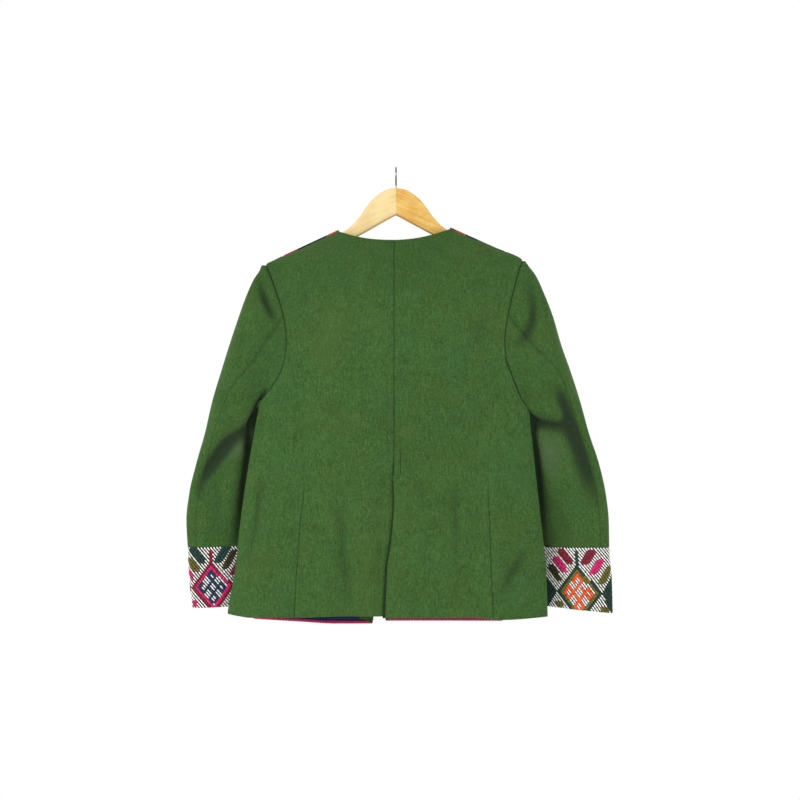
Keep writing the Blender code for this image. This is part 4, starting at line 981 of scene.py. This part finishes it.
def front_edge(side, rows):
    """The open edge of a front, from the hem up, along the neckline and over the ridge."""
    ridge_row = SIDE_STEPS + ARM_LOW_STEPS + ARM_HIGH_STEPS
    hem = FRONT_HEM[side].at("down", FRONT_EDGE.at(side, FRONT_EDGE.keys[-1]))
    top = -over_ridge(side, NECK_OUT[side], 360 - ARM_SEAM_ANGLE)[2]
    down = np.interp(rows, (0, FRONT_OPEN_STEPS, ridge_row), (hem, FRONT_NECK_DOWN, top))
    points = on_form(FRONT_EDGE.at(side, down), down, False)
    over = rows >= ridge_row
    points[over] = over_ridge(side, NECK_OUT[side], front_angle(rows[over]))
    return points


def textile_grid(side):
    rows, columns = places(FRONT_STEPS, FRONT_ROWS_EACH), places(SHOULDER_TEXTILE_STEPS, FRONT_COLUMNS_EACH)
    top = shoulder_seam(side, SHOULDER_WOOL_STEPS + columns)
    grid = panel(side, FRONT_HEM[side], top, front_seam(side, rows), front_edge(side, rows), rows)
    return grid, form_normal(grid)


def side_front_grid(side):
    rows, columns = places(FRONT_STEPS, FRONT_ROWS_EACH), places(SHOULDER_WOOL_STEPS, FRONT_COLUMNS_EACH)
    outer = side_seam(side, np.minimum(rows, SIDE_STEPS))
    outer[rows > SIDE_STEPS] = armhole(side, front_angle(rows[rows > SIDE_STEPS]))
    edges = shoulder_seam(side, columns), outer, front_seam(side, rows)
    grid = panel(side, FRONT_HEM[side], *edges, rows, columns / SHOULDER_WOOL_STEPS)
    return grid, outer_rim_blended(side, grid, rows, front_angle(rows))


def facing_grid(side):
    rows = places(FRONT_OPEN_STEPS, FRONT_ROWS_EACH)
    columns = places(FACING_STEPS, FACING_COLUMNS_EACH) / FACING_STEPS
    edge = front_edge(side, rows)
    x = edge[:, :1] + side * (FACING_INSET + FACING_WIDTH * columns)
    grid = on_form(x, -edge[:, 2:], False)
    normals = form_normal(grid)
    grid = grid - normals * (WOOL_THICKNESS + FACING_CLEARANCE)
    grid[..., 2] -= (FACING_CORNER_DROP * (1 - 2 * columns)) * np.clip(1 - rows, 0, 1)[:, None]
    return grid, normals


# The stripes, from the front edges out to a distance in metres: where each starts as a share of it
STRIPE_SPAN = 0.2
STRIPES = (
    (0.000, (0.020, 0.030, 0.085)), (0.120, (0.330, 0.020, 0.080)), (0.150, (0.020, 0.030, 0.085)),
    (0.260, (0.560, 0.500, 0.380)), (0.275, (0.020, 0.090, 0.070)), (0.430, (0.280, 0.010, 0.040)),
    (0.475, (0.400, 0.050, 0.018)), (0.555, (0.010, 0.014, 0.038)), (0.680, (0.005, 0.007, 0.014)),
    (0.785, (0.300, 0.010, 0.032)),
)
DIAMOND_REPEAT, DIAMONDS_END = 0.018, 0.42
DIAMONDS = ((0.24, 0.8, (0.40, 0.30, 0.16, 1)), (0.12, 0.9, (0.22, 0.01, 0.05, 1)))
BETWEEN_THREADS = (0.0, 0.0, 0.0, 1)
# The right front turns green, with a hard edge, beyond this distance across and above this height, in metres.
# From behind only its shoulder strip shows
GREEN_FROM, GREEN_ABOVE, SHOULDER_GREEN = 0.131, -0.175, (0.036, 0.078, 0.024, 1)
REVERSE_NAVY, REVERSE_LINE, REVERSE_REPEAT = (0.016, 0.028, 0.075, 1), (0.050, 0.080, 0.150, 1), 0.006
REVERSE_LINE_WIDTH = 0.3


def textile_finish():
    """Woven stripes of red, orange, navy and magenta with a row of small diamonds, and a navy reverse."""
    material, place = new_finish("textile", 0.9, Specular_IOR_Level=0.1)
    x, _, z = place.axes()
    across = x.absolute() / STRIPE_SPAN
    colour = across.ramp(*STRIPES, kind="CONSTANT")
    cell = [(axis / DIAMOND_REPEAT).fraction() - 0.5 for axis in (x, z)]
    diamond = cell[0].absolute() + cell[1].absolute()
    near_edge = across < DIAMONDS_END
    for size, strength, shown in DIAMONDS:
        colour = ((diamond < size) * near_edge * strength).mix(colour, shown)
    threads = place.noise(160.0, 3.0, (9, 9, 1.5))
    colour = (threads * 0.35).mix(colour, BETWEEN_THREADS)
    colour = ((x > GREEN_FROM) * (z > GREEN_ABOVE)).mix(colour, SHOULDER_GREEN)
    lines = ((x + z) / REVERSE_REPEAT).fraction() < REVERSE_LINE_WIDTH
    reverse = (lines * (0.5 * threads)).mix(REVERSE_NAVY, REVERSE_LINE)
    return paint(material, (place.mark("inside") > 0.5).mix(colour, reverse), threads, 0.4, 0.0006)


textile = textile_finish()
for name, side in SIDES.items():
    grid, normals = textile_grid(side)
    edges = {HEM: HEM_EDGE, TOP: SHOULDER_EDGE, OUTER: PANEL_EDGE, INNER: HEM_EDGE}
    add_panel("textile_front_" + name, "front_" + name, grid, normals, edges, FRONT_CREASES,
              textile)
    grid, normals = side_front_grid(side)
    edges = {HEM: HEM_EDGE, TOP: SHOULDER_EDGE, INNER: PANEL_EDGE,
             OUTER: edge_kinds(grid[:, 0], UNDERARM_DOWN[side], ARMHOLE_EDGE, PANEL_EDGE)}
    add_panel("wool_side_front_" + name, "side_front_" + name, grid, normals, edges, FRONT_CREASES,
              fade=away_from(grid, OUTER))
    grid, normals = facing_grid(side)
    flat = np.zeros(grid.shape[:2])
    piece = add_cloth("wool_facing_" + name, grid, normals, {INNER: FACING_EDGE}, flat, wool,
                      FACING_THICKNESS)
    dress(piece, "front_facing_" + name)
    declare_sheet(grid)


# The sleeves: two pieces each, an upper one over the outer edge and an under one against the body, joined by
# the back and front seams and set into the armhole. They hang in front of the hips with deep soft folds
# where the arm would bend and below the armhole.
SLEEVE_CREASES = {
    LEFT: (
        (-206, 366, -232, 396, -250, 416, 5, 14, 6.0),
        (-222, 398, -258, 432, -296, 478, 12, 11, -7.5),
        (-266, 432, -298, 474, -318, 524, 12, 10, -6.5),
        (-250, 384, -292, 436, -326, 500, 9, 13, 3.0),
        (-207, 357, -224, 392, -234, 448, 7, 6, -9.0),
        (-214, 374, -231, 400, -236, 446, 9, 9, -5.5),
        (-222, 410, -238, 480, -253, 596, 7, 8, -8.5),
        (-218, 178, -207, 216, -190, 246, 7, 7, -6.0),
        (-200, 200, -190, 226, -186, 256, 5, 5, 1.6),
        (-236, 186, -228, 230, -212, 284, 9, 9, 2.2),
        (-300, 330, -276, 372, -262, 396, 9, 12, -2.4),
        (-256, 452, -262, 500, -262, 560, 9, 12, 2.6),
        (-276, 480, -284, 530, -286, 590, 8, 10, -2.0),
        (-308, 540, -304, 570, -302, 600, 10, 10, 1.8),
    ),
    RIGHT: (
        (207, 374, 228, 388, 266, 398, 14, 3.2, 7.5),
        (206, 391, 232, 406, 276, 412, 4.5, 12, -9.5),
        (252, 356, 280, 410, 320, 532, 14, 15, -10.0),
        (240, 350, 256, 372, 262, 394, 9, 7, 3.5),
        (276, 350, 302, 410, 334, 510, 10, 9, 3.0),
        (216, 400, 225, 486, 238, 604, 8, 6, -9.0),
        (214.5, 191, 217, 246, 188, 286, 9, 9, -5.5),
        (232, 196, 238, 250, 224, 304, 9, 9, 2.0),
        (236, 426, 250, 468, 270, 510, 14, 12, 3.4),
        (250, 520, 266, 560, 276, 600, 10, 12, -2.2),
        (304, 296, 290, 340, 272, 362, 10, 8, -2.4),
    ),
}
FRONT_CREASE_PART = 0.45
SLEEVE_FACING, TOWARDS_BACK = 0.2, 0.5
# The cap is eased into the armhole, so it stands up in a small roll just outside the seam
CAP_ROLL_HEIGHT, CAP_ROLL_FROM_SEAM, CAP_ROLL_WIDTH, CAP_ROLL_RISE = {LEFT: 4.5, RIGHT: 2.0}, 4.0, 8.0, 1.8
UNDERARM_ANGLES = 112, 200
BACK_SEAM_COLUMN, FRONT_SEAM_COLUMN = 6 * SLEEVE_COLUMNS_EACH, 17 * SLEEVE_COLUMNS_EACH
# Painted sheen: hazy paler places where the nap catches the light, their middles across and down, and their
# reach
PAINTED_SHEEN_PLACES = {LEFT: (-252, 446, 15, 22), RIGHT: (243, 458, 20, 34)}
# The sleeves' wool carries more painted shade than the body's, so it is darker
SLEEVE_WOOL = {
    LEFT: wool_finish("green_wool_left_sleeve", -14, 0.13),
    RIGHT: wool_finish("green_wool_right_sleeve", 14, 0.12),
}


for name, side in SIDES.items():
    angle, grid, normals, _ = SLEEVES[side]
    facing = smooth_step(np.abs(normals[..., 1]) * 2 - SLEEVE_FACING)
    towards_back = smooth_step(-normals[..., 1] * 2 + TOWARDS_BACK)
    creases = crease_height(SLEEVE_CREASES[side], grid) * away_from(grid, HEM)
    lift = creases * (FRONT_CREASE_PART + (1 - FRONT_CREASE_PART) * towards_back) * facing
    lift += waver(grid) * facing
    past_seam = from_edge(grid, HEM)
    roll = bell(past_seam - CAP_ROLL_FROM_SEAM, CAP_ROLL_WIDTH) * (1 - bell(past_seam, CAP_ROLL_RISE))
    lift += CAP_ROLL_HEIGHT[side] * roll * np.maximum(0, np.cos(np.radians(angle))) ** 2
    # Painted sheen on the sleeve's back, paler where its nap catches the light
    x, down, across, along = PAINTED_SHEEN_PLACES[side]
    painted_sheen = bell(grid[..., 0] - x, across) * bell(grid[..., 2] + down, along) * towards_back
    numbers = np.arange(len(angle))
    under = numbers[BACK_SEAM_COLUMN : FRONT_SEAM_COLUMN + 1]
    upper = np.concatenate((numbers[FRONT_SEAM_COLUMN:], numbers[: BACK_SEAM_COLUMN + 1]))
    low = ((angle > UNDERARM_ANGLES[0]) & (angle < UNDERARM_ANGLES[1]))[:, None]
    armhole_kinds = np.where(low, UNDERARM_EDGE, ARMHOLE_EDGE)
    for kind, picked in (("upper_sleeve_", upper), ("under_sleeve_", under)):
        edges = {HEM: armhole_kinds[picked], TOP: HEM_EDGE, OUTER: SLEEVE_EDGE, INNER: SLEEVE_EDGE}
        piece = add_cloth("wool_" + kind + name, grid[:, picked], normals[:, picked], edges, lift[:, picked],
                          SLEEVE_WOOL[side], painted_sheen=painted_sheen[:, picked])
        dress(piece, kind + name)
        declare_sheet(grid[:, picked])


# The cuffs: deep bands of dark canvas covered in slanting satin stitches of wool yarn, ivory for the ground
# and other colours for the motif, a diamond with a knot of looped squares inside two frames, a short stem on
# top and slanting leaves on each side, three high and one low. One motif is on the back, one on the front.
CUFF = Table(
    SLEEVE_COLUMNS,
    (0.0, 14, 43, 17, 334, 607, 229, 604, 342, 607, 234, 607),
    (0.5, 14, 42, 16, 331, 656, 226, 652, 345.5, 657, 237, 655),
    (1.0, 14, 41, 16, 327, 704, 221, 700, 347, 712, 240, 702),
)
CUFF_HEIGHT, CUFF_THICKNESS = {LEFT: 95.0, RIGHT: 98.0}, 2.2
CANVAS_PROUD, CANVAS_ROWS, CANVAS_COLUMNS = -0.2, 30, 120
MOTIF_X, MOTIFS_ROUND = {LEFT: -295.0, RIGHT: 291.8}, 2
STITCH_SLANT = math.radians(52)
STITCH_PITCH, STITCH_LONGEST, STITCH_SHORTEST, STITCH_MARGIN = 5.0, 9.0, 1.6, 0.3
GROUND_HALF_WIDTH, MOTIF_HALF_WIDTH, STITCH_HEIGHT = 1.1, 1.95, 0.9
LEAF_REACH, LEAF_ROUND, LEAF_ROUND_POWER = 0.7, 0.45, 6
STEM_END, STEM_SPREAD = 1.2, 4
SAMPLE_STEP = 0.5
# How much chance changes a stitch: the range of its greatest length, the place of a cut and its side shift
LENGTH_RANGE, CUT_CHANCE, SHIFT_CHANCE = (0.8, 1.15), 0.18, 0.1

# A knot of four looped squares round a small one, drawn on a turned grid
KNOT = (
    "XXXX...XXXX",
    "X..X...X..X",
    "X..X...X..X",
    "XXXXXXXXXXX",
    "...X...X...",
    "...X...X...",
    "...X...X...",
    "XXXXXXXXXXX",
    "X..X...X..X",
    "X..X...X..X",
    "XXXX...XXXX",
)
YARNS = {
    "ivory": (0.93, 0.90, 0.80), "navy": (0.010, 0.034, 0.085), "crimson": (0.220, 0.006, 0.024),
    "magenta": (0.580, 0.016, 0.140), "teal": (0.010, 0.044, 0.036), "olive": (0.130, 0.120, 0.018),
    "dark_olive": (0.040, 0.034, 0.010), "maroon": (0.190, 0.010, 0.030), "orange": (0.800, 0.085, 0.012),
    "dark_green": (0.010, 0.040, 0.028),
}
YARN_NAMES = list(YARNS)
# Each motif: the diamond's middle down from the cuff's top, its half width and half height, its frames from
# the edge inwards, the stem's foot and top, and the start and slope of the dark corners at the cuff's sides.
# A leaf has the left and right ends of its top, its top, the left and right ends of its foot, and its foot.
MOTIFS = {
    LEFT: {
        "diamond": (63.0, 34.5, 41.0),
        "frames": ((3.4, "crimson"), (7.4, "magenta"), (8.8, "ivory")),
        "knot": "navy",
        "stem": ("crimson", 2.7, 3.6),
        "leaves": (
            ("teal", -36.5, -22, 1, -20.5, -7.3, 25), ("teal", 20.5, 36, -2, 4, 17, 25),
            ("olive", -44, -33, 15, -28, -16.5, 38), ("dark_olive", 33, 44, 6, 17, 27, 35),
            ("magenta", -54, -43, 22, -36, -28, 51), ("crimson", 46, 56, 18, 29, 35.5, 46),
            ("magenta", -36, -27.5, 83, -34, -29, 93), ("crimson", 28, 36, 83, 29, 34, 93),
        ),
        "corner": ("crimson", 36.0, 1.5),
    },
    RIGHT: {
        "diamond": (72.0, 37.0, 45.0),
        "frames": ((3.6, "dark_green"), (7.8, "olive"), (8.6, "ivory")),
        "knot": "orange",
        "stem": ("dark_green", 2.5, 4.0),
        "leaves": (
            ("maroon", -32.5, -20.5, 2, -16, -5, 27), ("maroon", 19, 34.5, 3, 4.5, 18, 27),
            ("magenta", -41.5, -30, 15, -28.5, -15.5, 40), ("magenta", 34, 46, 18, 17.5, 30, 42),
            ("dark_olive", -51, -40, 28, -37.5, -26.5, 54), ("olive", 49, 58, 29, 31, 43, 57),
            ("olive", -41, -26, 87, -38, -28, 97), ("olive", 34, 50, 90, 37, 47, 102),
        ),
        "corner": ("dark_green", 38.0, 1.55),
    },
}


def motif_yarn(side, across, down):
    """The number of the yarn at places round the cuff from the motif's middle line and down from its top."""
    motif = MOTIFS[side]
    middle, half_width, half_height = motif["diamond"]
    yarn = np.full(across.shape, YARN_NAMES.index("ivory"))
    for name, left_top, right_top, top, left_foot, right_foot, foot in motif["leaves"]:
        part = (down - top) / (foot - top)
        left, right = left_top + (left_foot - left_top) * part, right_top + (right_foot - right_top) * part
        half = ((right - left) / 2 + LEAF_REACH) * (1 - LEAF_ROUND * (2 * part - 1) ** LEAF_ROUND_POWER)
        inside = (part > 0) & (part < 1) & (np.abs(across - (left + right) / 2) < half)
        yarn[inside] = YARN_NAMES.index(name)
    name, start, slope = motif["corner"]
    reach = np.abs(across) - start
    yarn[(reach > 0) & (np.abs(down - middle) < reach * slope + 1)] = YARN_NAMES.index(name)
    name, half_foot, top = motif["stem"]
    part = (down - top) / (middle - half_height - top)
    half = half_foot * np.sqrt(np.clip(part * STEM_SPREAD, 0, 1))
    stem = (part > 0) & (part < STEM_END) & (np.abs(across) < half)
    yarn[stem] = YARN_NAMES.index(name)
    u, v = across / half_width, (down - middle) / half_height
    turned = np.stack((u + v, v - u), axis=-1)
    span = half_width * half_height / math.hypot(half_width, half_height)
    depth = (1 - np.abs(turned).max(axis=-1)) * span
    last = 0.0
    for reach, name in motif["frames"]:
        yarn[(depth > last) & (depth <= reach)] = YARN_NAMES.index(name)
        last = reach
    cells = ((turned / (1 - last / span) + 1) / 2 * len(KNOT)).astype(int)
    cells = np.clip(cells, 0, len(KNOT) - 1)
    drawn = np.array([[mark == "X" for mark in line] for line in KNOT])[cells[..., 0], cells[..., 1]]
    yarn[(depth > last) & ~drawn] = YARN_NAMES.index("ivory")
    yarn[(depth > last) & drawn] = YARN_NAMES.index(motif["knot"])
    return yarn


class CuffPlaces:
    """Finds points of a cuff by their distance round it from the motif's middle and down from its top."""

    def __init__(self, side):
        self.side = side
        self.angles = np.linspace(0, 360, 361)
        ring = ring_points(CUFF, side, np.array([0.5]), self.angles[None], 0.0)[0]
        self.lengths = np.concatenate(([0.0], np.cumsum(np.linalg.norm(np.diff(ring, axis=0), axis=1))))
        self.girth = self.lengths[-1]
        back = self.angles <= 180
        order = np.argsort(ring[back, 0])
        self.start = float(np.interp(MOTIF_X[side], ring[back, 0][order], self.lengths[back][order]))

    def at(self, across, down, proud):
        # From outside, angles run to the right on the left cuff's back and to the left on the right one's
        turned = np.interp((self.start - self.side * across) % self.girth, self.lengths, self.angles)
        share = np.clip(down / CUFF_HEIGHT[self.side], 0, 1)
        return ring_points(CUFF, self.side, share, turned[:, None], np.asarray(proud)[:, None])[:, 0]


def stitch_runs(side, girth):
    """Each stitch as its ends along the slanting lines of yarn, split where the yarn changes or runs long."""
    chance = random.Random(5)
    lines = round(girth / STITCH_PITCH)
    length = (CUFF_HEIGHT[side] - 2 * STITCH_MARGIN) / math.sin(STITCH_SLANT)
    along = np.arange(0, length, SAMPLE_STEP)
    period = girth / MOTIFS_ROUND
    for line in range(lines):
        begin = line * (girth / lines)
        folded = (begin + along * math.cos(STITCH_SLANT) + period / 2) % period - period / 2
        yarn = motif_yarn(side, folded, STITCH_MARGIN + along * math.sin(STITCH_SLANT))
        cuts = [0]
        for cut in np.flatnonzero(np.diff(yarn)) + 1:
            if (cut - cuts[-1]) * SAMPLE_STEP >= STITCH_SHORTEST:
                cuts.append(int(cut))
        for first, last in zip(cuts, [*cuts[1:], len(along)]):
            span = (last - first) * SAMPLE_STEP
            if span < STITCH_SHORTEST / 2:
                continue
            middle = int(np.bincount(yarn[first:last]).argmax())
            pieces = math.ceil(span / (STITCH_LONGEST * chance.uniform(*LENGTH_RANGE)))
            stops = [span * i / pieces for i in range(pieces + 1)]
            for i in range(1, pieces):
                stops[i] += chance.uniform(-CUT_CHANCE, CUT_CHANCE) * span / pieces
            for start, stop in zip(stops[:-1], stops[1:]):
                from_along = first * SAMPLE_STEP + start
                shift = chance.uniform(-SHIFT_CHANCE, SHIFT_CHANCE)
                yield begin, from_along, from_along + (stop - start), middle, shift


# A stitch is a bead of rings: where they are along it, how wide they are, and how far they stand up
BEAD_PLACES, BEAD_WIDTHS = np.array((0.0, 0.1, 0.5, 0.9, 1.0)), np.array((0.5, 0.95, 1.0, 0.95, 0.5))[:, None]
BEAD_RISES = np.array((-0.35, 0.05, 0.15, 0.05, -0.35))
BEAD_SIDES = 6


def add_stitches(name, side):
    """All the stitches of one cuff as one mesh of small flattened beads of yarn."""
    cuff = CuffPlaces(side)
    runs = zip(*stitch_runs(side, cuff.girth))
    starts, firsts, lasts, yarns, shifts = (np.array(column) for column in runs)
    along = firsts[:, None] + (lasts - firsts)[:, None] * BEAD_PLACES
    across = starts[:, None] + shifts[:, None] + along * math.cos(STITCH_SLANT)
    down = STITCH_MARGIN + along * math.sin(STITCH_SLANT)
    rise = np.broadcast_to(CANVAS_PROUD + BEAD_RISES, along.shape)
    points, lifted = (
        cuff.at(across.ravel(), down.ravel(), rise.ravel() + more).reshape(*along.shape, 3) for more in (0, 1)
    )
    up = unit(lifted - points)
    sideways = unit(np.cross(np.gradient(points, axis=1), up))
    turn = 2 * math.pi * np.arange(BEAD_SIDES) / BEAD_SIDES
    half = np.where(yarns == YARN_NAMES.index("ivory"), GROUND_HALF_WIDTH, MOTIF_HALF_WIDTH)
    ring = sideways[:, :, None] * (np.cos(turn) * BEAD_WIDTHS)[None, :, :, None] * half[:, None, None, None]
    ring = ring + up[:, :, None] * (np.sin(turn) * BEAD_WIDTHS * STITCH_HEIGHT)[None, :, :, None]
    corners = points[:, :, None] + ring
    index = np.arange(corners.size // 3).reshape(corners.shape[:3])
    faces = [*quads(closed_round(index)), *index[:, 0, ::-1], *index[:, -1]]
    made = mesh_object(name, corners.reshape(-1, 3), faces, thread_finish(YARN_NAMES[0]))
    for yarn in YARN_NAMES[1:]:
        made.data.materials.append(thread_finish(yarn))
    numbers = np.concatenate((np.repeat(yarns, (len(BEAD_PLACES) - 1) * BEAD_SIDES), yarns, yarns))
    made.data.polygons.foreach_set("material_index", numbers.astype(np.int32))
    return made


def thread_finish(yarn):
    """Soft twisted wool yarn of one colour, a little uneven from stitch to stitch."""
    name = "yarn_" + yarn
    if name in bpy.data.materials:
        return bpy.data.materials[name]
    material, place = new_finish(name, 0.8, Sheen_Weight=0.04, Specular_IOR_Level=0.2)
    level = 0.6 * place.noise(260.0, 2.0) + 0.4 * place.noise(900.0, 2.0)
    dark = tuple(value * 0.7 for value in YARNS[yarn])
    light = tuple(min(value * 1.25 + 0.01, 1.0) for value in YARNS[yarn])
    return paint(material, level.ramp((0.36, dark), (0.64, light)), place.noise(1400.0), 0.4, 0.0005)


def canvas_finish():
    """The dark ground between the stitches: plain canvas with a fine square weave."""
    material, place = new_finish("dark_canvas", 0.9, Specular_IOR_Level=0.2)
    level = place.noise(700.0)
    colour = level.ramp((0.35, (0.004, 0.004, 0.003)), (0.65, (0.020, 0.018, 0.014)))
    return paint(material, colour, level, 0.4, 0.0004)


canvas = canvas_finish()
for name, side in SIDES.items():
    rows = places(1, CANVAS_ROWS)
    angle = np.arange(CANVAS_COLUMNS) * 360 / CANVAS_COLUMNS
    grid = ring_points(CUFF, side, rows, np.broadcast_to(angle, (len(rows), len(angle))), CANVAS_PROUD)
    band = add_cloth("cuff_band_" + name, grid, grid_normals(grid), {HEM: HEM_EDGE, TOP: HEM_EDGE},
                     np.zeros(grid.shape[:2]), canvas, CUFF_THICKNESS, closed=True)
    stitches = add_stitches("cuff_stitches_" + name, side)
    dress(band, "cuff_" + name)
    dress(stitches)
    declare_sheet(grid, closed=True)


# The magenta cords along the lower edges of the textile fronts: two strands of yarn twisted together and sewn
# on, which show from behind as a ribbed line under the hem. One strand is darker, as painted shade for the
# grooves of the twist.
CORD_BELOW, CORD_FORWARD, CORD_STEP, CORD_SIDES, CORD_TWIST = 2.1, 0.3, 0.5, 8, 4.6
STRANDS, STRAND_RADIUS, STRAND_OFFSET = 2, 1.75, 1.4


def cord_finish():
    material, place = new_finish("magenta_cord", 0.7, Sheen_Weight=0.2, Specular_IOR_Level=0.3)
    level = 0.5 * place.noise(300.0, 2.0) + 0.5 * place.noise(1200.0)
    colour = level.ramp((0.34, (0.34, 0.006, 0.08)), (0.60, (0.78, 0.02, 0.20)))
    # Painted shade on one strand, for the shade in the grooves between the strands
    colour = (place.mark("strand_shade") * 0.6).mix(colour, (0.14, 0.004, 0.04, 1))
    return paint(material, colour, level, 0.5, 0.0005)


def strand_tube(line):
    """The points and faces of a round strand along a line, closed at its ends."""
    run = unit(np.gradient(line, axis=0))
    up = unit(np.cross(run, (0.0, 1.0, 0.0)))
    turn = (2 * math.pi * np.arange(CORD_SIDES) / CORD_SIDES)[:, None]
    ring = up[:, None] * np.cos(turn) + np.cross(run, up)[:, None] * np.sin(turn)
    index = np.arange(len(line) * CORD_SIDES).reshape(-1, CORD_SIDES)
    faces = [*quads(closed_round(index).T), index[0], index[-1, ::-1]]
    return (line[:, None] + STRAND_RADIUS * ring).reshape(-1, 3), faces


magenta_cord = cord_finish()
for name, side in SIDES.items():
    first, last = (line(side, np.array([0.0]))[0, 0] for line in (front_edge, front_seam))
    first += side * STRAND_RADIUS
    x = np.linspace(first, last, int(abs(last - first) / CORD_STEP))
    line = on_form(x, FRONT_HEM[side].at("down", x), False) + (0.0, CORD_FORWARD, -CORD_BELOW)
    points, faces, strand_shade = [], [], []
    for start in np.arange(STRANDS) * 2 * math.pi / STRANDS:
        twist = 2 * math.pi * x / CORD_TWIST + start
        offset = np.stack((0 * x, np.cos(twist), np.sin(twist)), axis=-1) * STRAND_OFFSET
        strand, skin = strand_tube(line + offset)
        faces += [face + len(strand_shade) for face in skin]
        points.append(strand)
        strand_shade += [float(start == 0)] * len(strand)
    cord = mesh_object("hem_cord_" + name, np.concatenate(points), faces, magenta_cord, {"strand_shade": strand_shade})
    dress(cord, "edge_cord_" + name)


# The hanger: two halves of turned and bent beech glued in the middle, the left one paler than the right one,
# with rounded edges and a satin varnish, painted shade along the underside of each arm and a wire hook let
# into it.
HANGER_NECK = Table(
    ("out", "top", "bottom"),
    (0, 31.2, 75.4), (8, 32, 79.4), (18, 35, 85), (28, 41.5, 90.8), (38, 50, 96.5), (48, 62.5, 102.2),
    (60, 79.5, 109), (74, 94.5, 117), (92, 107, 126),
)
HANGER_ARM = Table(
    ("out", "below_ridge", "height", "thickness"),
    (0, 8.6, 19, 12), (92, 8.6, 19, 10), (112, 6.0, 18.5, 10), (132, 3.6, 18, 9.5), (150, 2.9, 17, 9),
    (172, 2.9, 15.5, 8.5), (184, 3.2, 13.5, 8), (193, 5.0, 9, 6),
)
HANGER_SQUARE, HANGER_SIDES, HANGER_STEP, JOINT_GAP = 3.0, 36, 2.5, 0.1
ROUND_END, ROUND_END_LEAST, THIN_END_LEAST = 6.0, 0.12, 0.5
UNDERSIDE_SHADE_FROM, UNDERSIDE_SHADE_BLEND = 0.78, 0.16
GRAIN_LEAN = math.radians(24)
WOODS = {
    LEFT: ((0.66, 0.47, 0.20), (0.73, 0.57, 0.27), (0.50, 0.28, 0.07, 1)),
    RIGHT: ((0.57, 0.29, 0.045), (0.72, 0.49, 0.115), (0.40, 0.16, 0.03, 1)),
}


def hanger_section(side, out):
    """The top and bottom of the wood at distances from the hook's line."""
    neck_end = HANGER_NECK.keys[-1]
    meeting = ridge_down(side, neck_end) + HANGER_ARM.at("below_ridge", 0)
    tilt = (meeting - HANGER_NECK.at("top", neck_end)) * smooth_step(out / neck_end)
    arm_top = ridge_down(side, out) + HANGER_ARM.at("below_ridge", out)
    arm = arm_top, arm_top + HANGER_ARM.at("height", out)
    neck = (HANGER_NECK.at(edge, out) + tilt for edge in ("top", "bottom"))
    return [np.where(out >= neck_end, *pair) for pair in zip(arm, neck)]


def wood_finish(name, side):
    """Beech under satin varnish: fine grain along the arm, a few darker pores and painted shade on its lower
    edge.
    """
    dark, light, edge = WOODS[side]
    material, place = new_finish(name, 0.38, Coat_Weight=0.25, Coat_Roughness=0.25)
    turned = place.mapped(Rotation=(0, -side * GRAIN_LEAN, 0))
    grain, pores = turned.noise(18.0, 5.0, (1.2, 6, 14)), turned.noise(90.0, 2.0, (1.0, 8, 10))
    patches = place.noise(26.0)
    colour = (0.35 * grain + 0.2 * pores + 0.45 * patches).ramp((0.40, dark), (0.56, light))
    colour = (pores.above(0.62, 0.72) * 0.35).mix(colour, edge)
    # Painted shade on the underside of the arm
    return paint(material, (place.mark("under") * 0.8).mix(colour, edge), grain, 0.15, 0.0004)


for name, side in SIDES.items():
    tip = HANGER_ARM.keys[-1] - (0 if side == LEFT else NECK_OUT[LEFT] - NECK_OUT[RIGHT])
    out = np.concatenate(([JOINT_GAP / 2], np.arange(HANGER_STEP, tip, HANGER_STEP), [tip]))[:, None]
    top, bottom = hanger_section(side, out)
    turn = 2 * math.pi * (np.arange(HANGER_SIDES) + 0.5) / HANGER_SIDES
    wide, high = rounded(np.cos(turn), HANGER_SQUARE), rounded(np.sin(turn), HANGER_SQUARE)
    thin = np.maximum(np.sqrt(np.clip((tip - out) / ROUND_END, ROUND_END_LEAST, 1.0)), THIN_END_LEAST)
    y = HANGER_ARM.at("thickness", out) / 2 * wide * thin
    z = -(top + bottom) / 2 + (bottom - top) / 2 * high
    rings = np.stack((np.broadcast_to(side * out, y.shape), y, z), axis=-1)
    index = np.arange(y.size).reshape(y.shape)
    faces = [*quads(closed_round(index)), index[0, ::-1], index[-1]]
    if side == RIGHT:
        faces = [face[::-1] for face in faces]
    # Where the section faces down, for the painted shade underneath
    under = np.broadcast_to(smooth_step((-high - UNDERSIDE_SHADE_FROM) / UNDERSIDE_SHADE_BLEND), y.shape).ravel()
    half = mesh_object("wood_" + name, rings.reshape(-1, 3), faces, wood_finish("beech_" + name, side),
                       {"under": under})
    dress(half, "hanger_" + name)


# The hook: bright drawn steel wire bent to a loop and let into the top of the wood. Its own solid stays.
def steel_finish():
    material, place = new_finish("drawn_steel", 0.3, Metallic=1.0)
    level = place.noise(500.0, 3.0, (4, 4, 0.6))
    return paint(material, level.ramp((0.35, (0.16, 0.16, 0.17)), (0.65, (0.28, 0.28, 0.28))))


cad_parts["hanger_hook"].data.materials[0] = steel_finish()
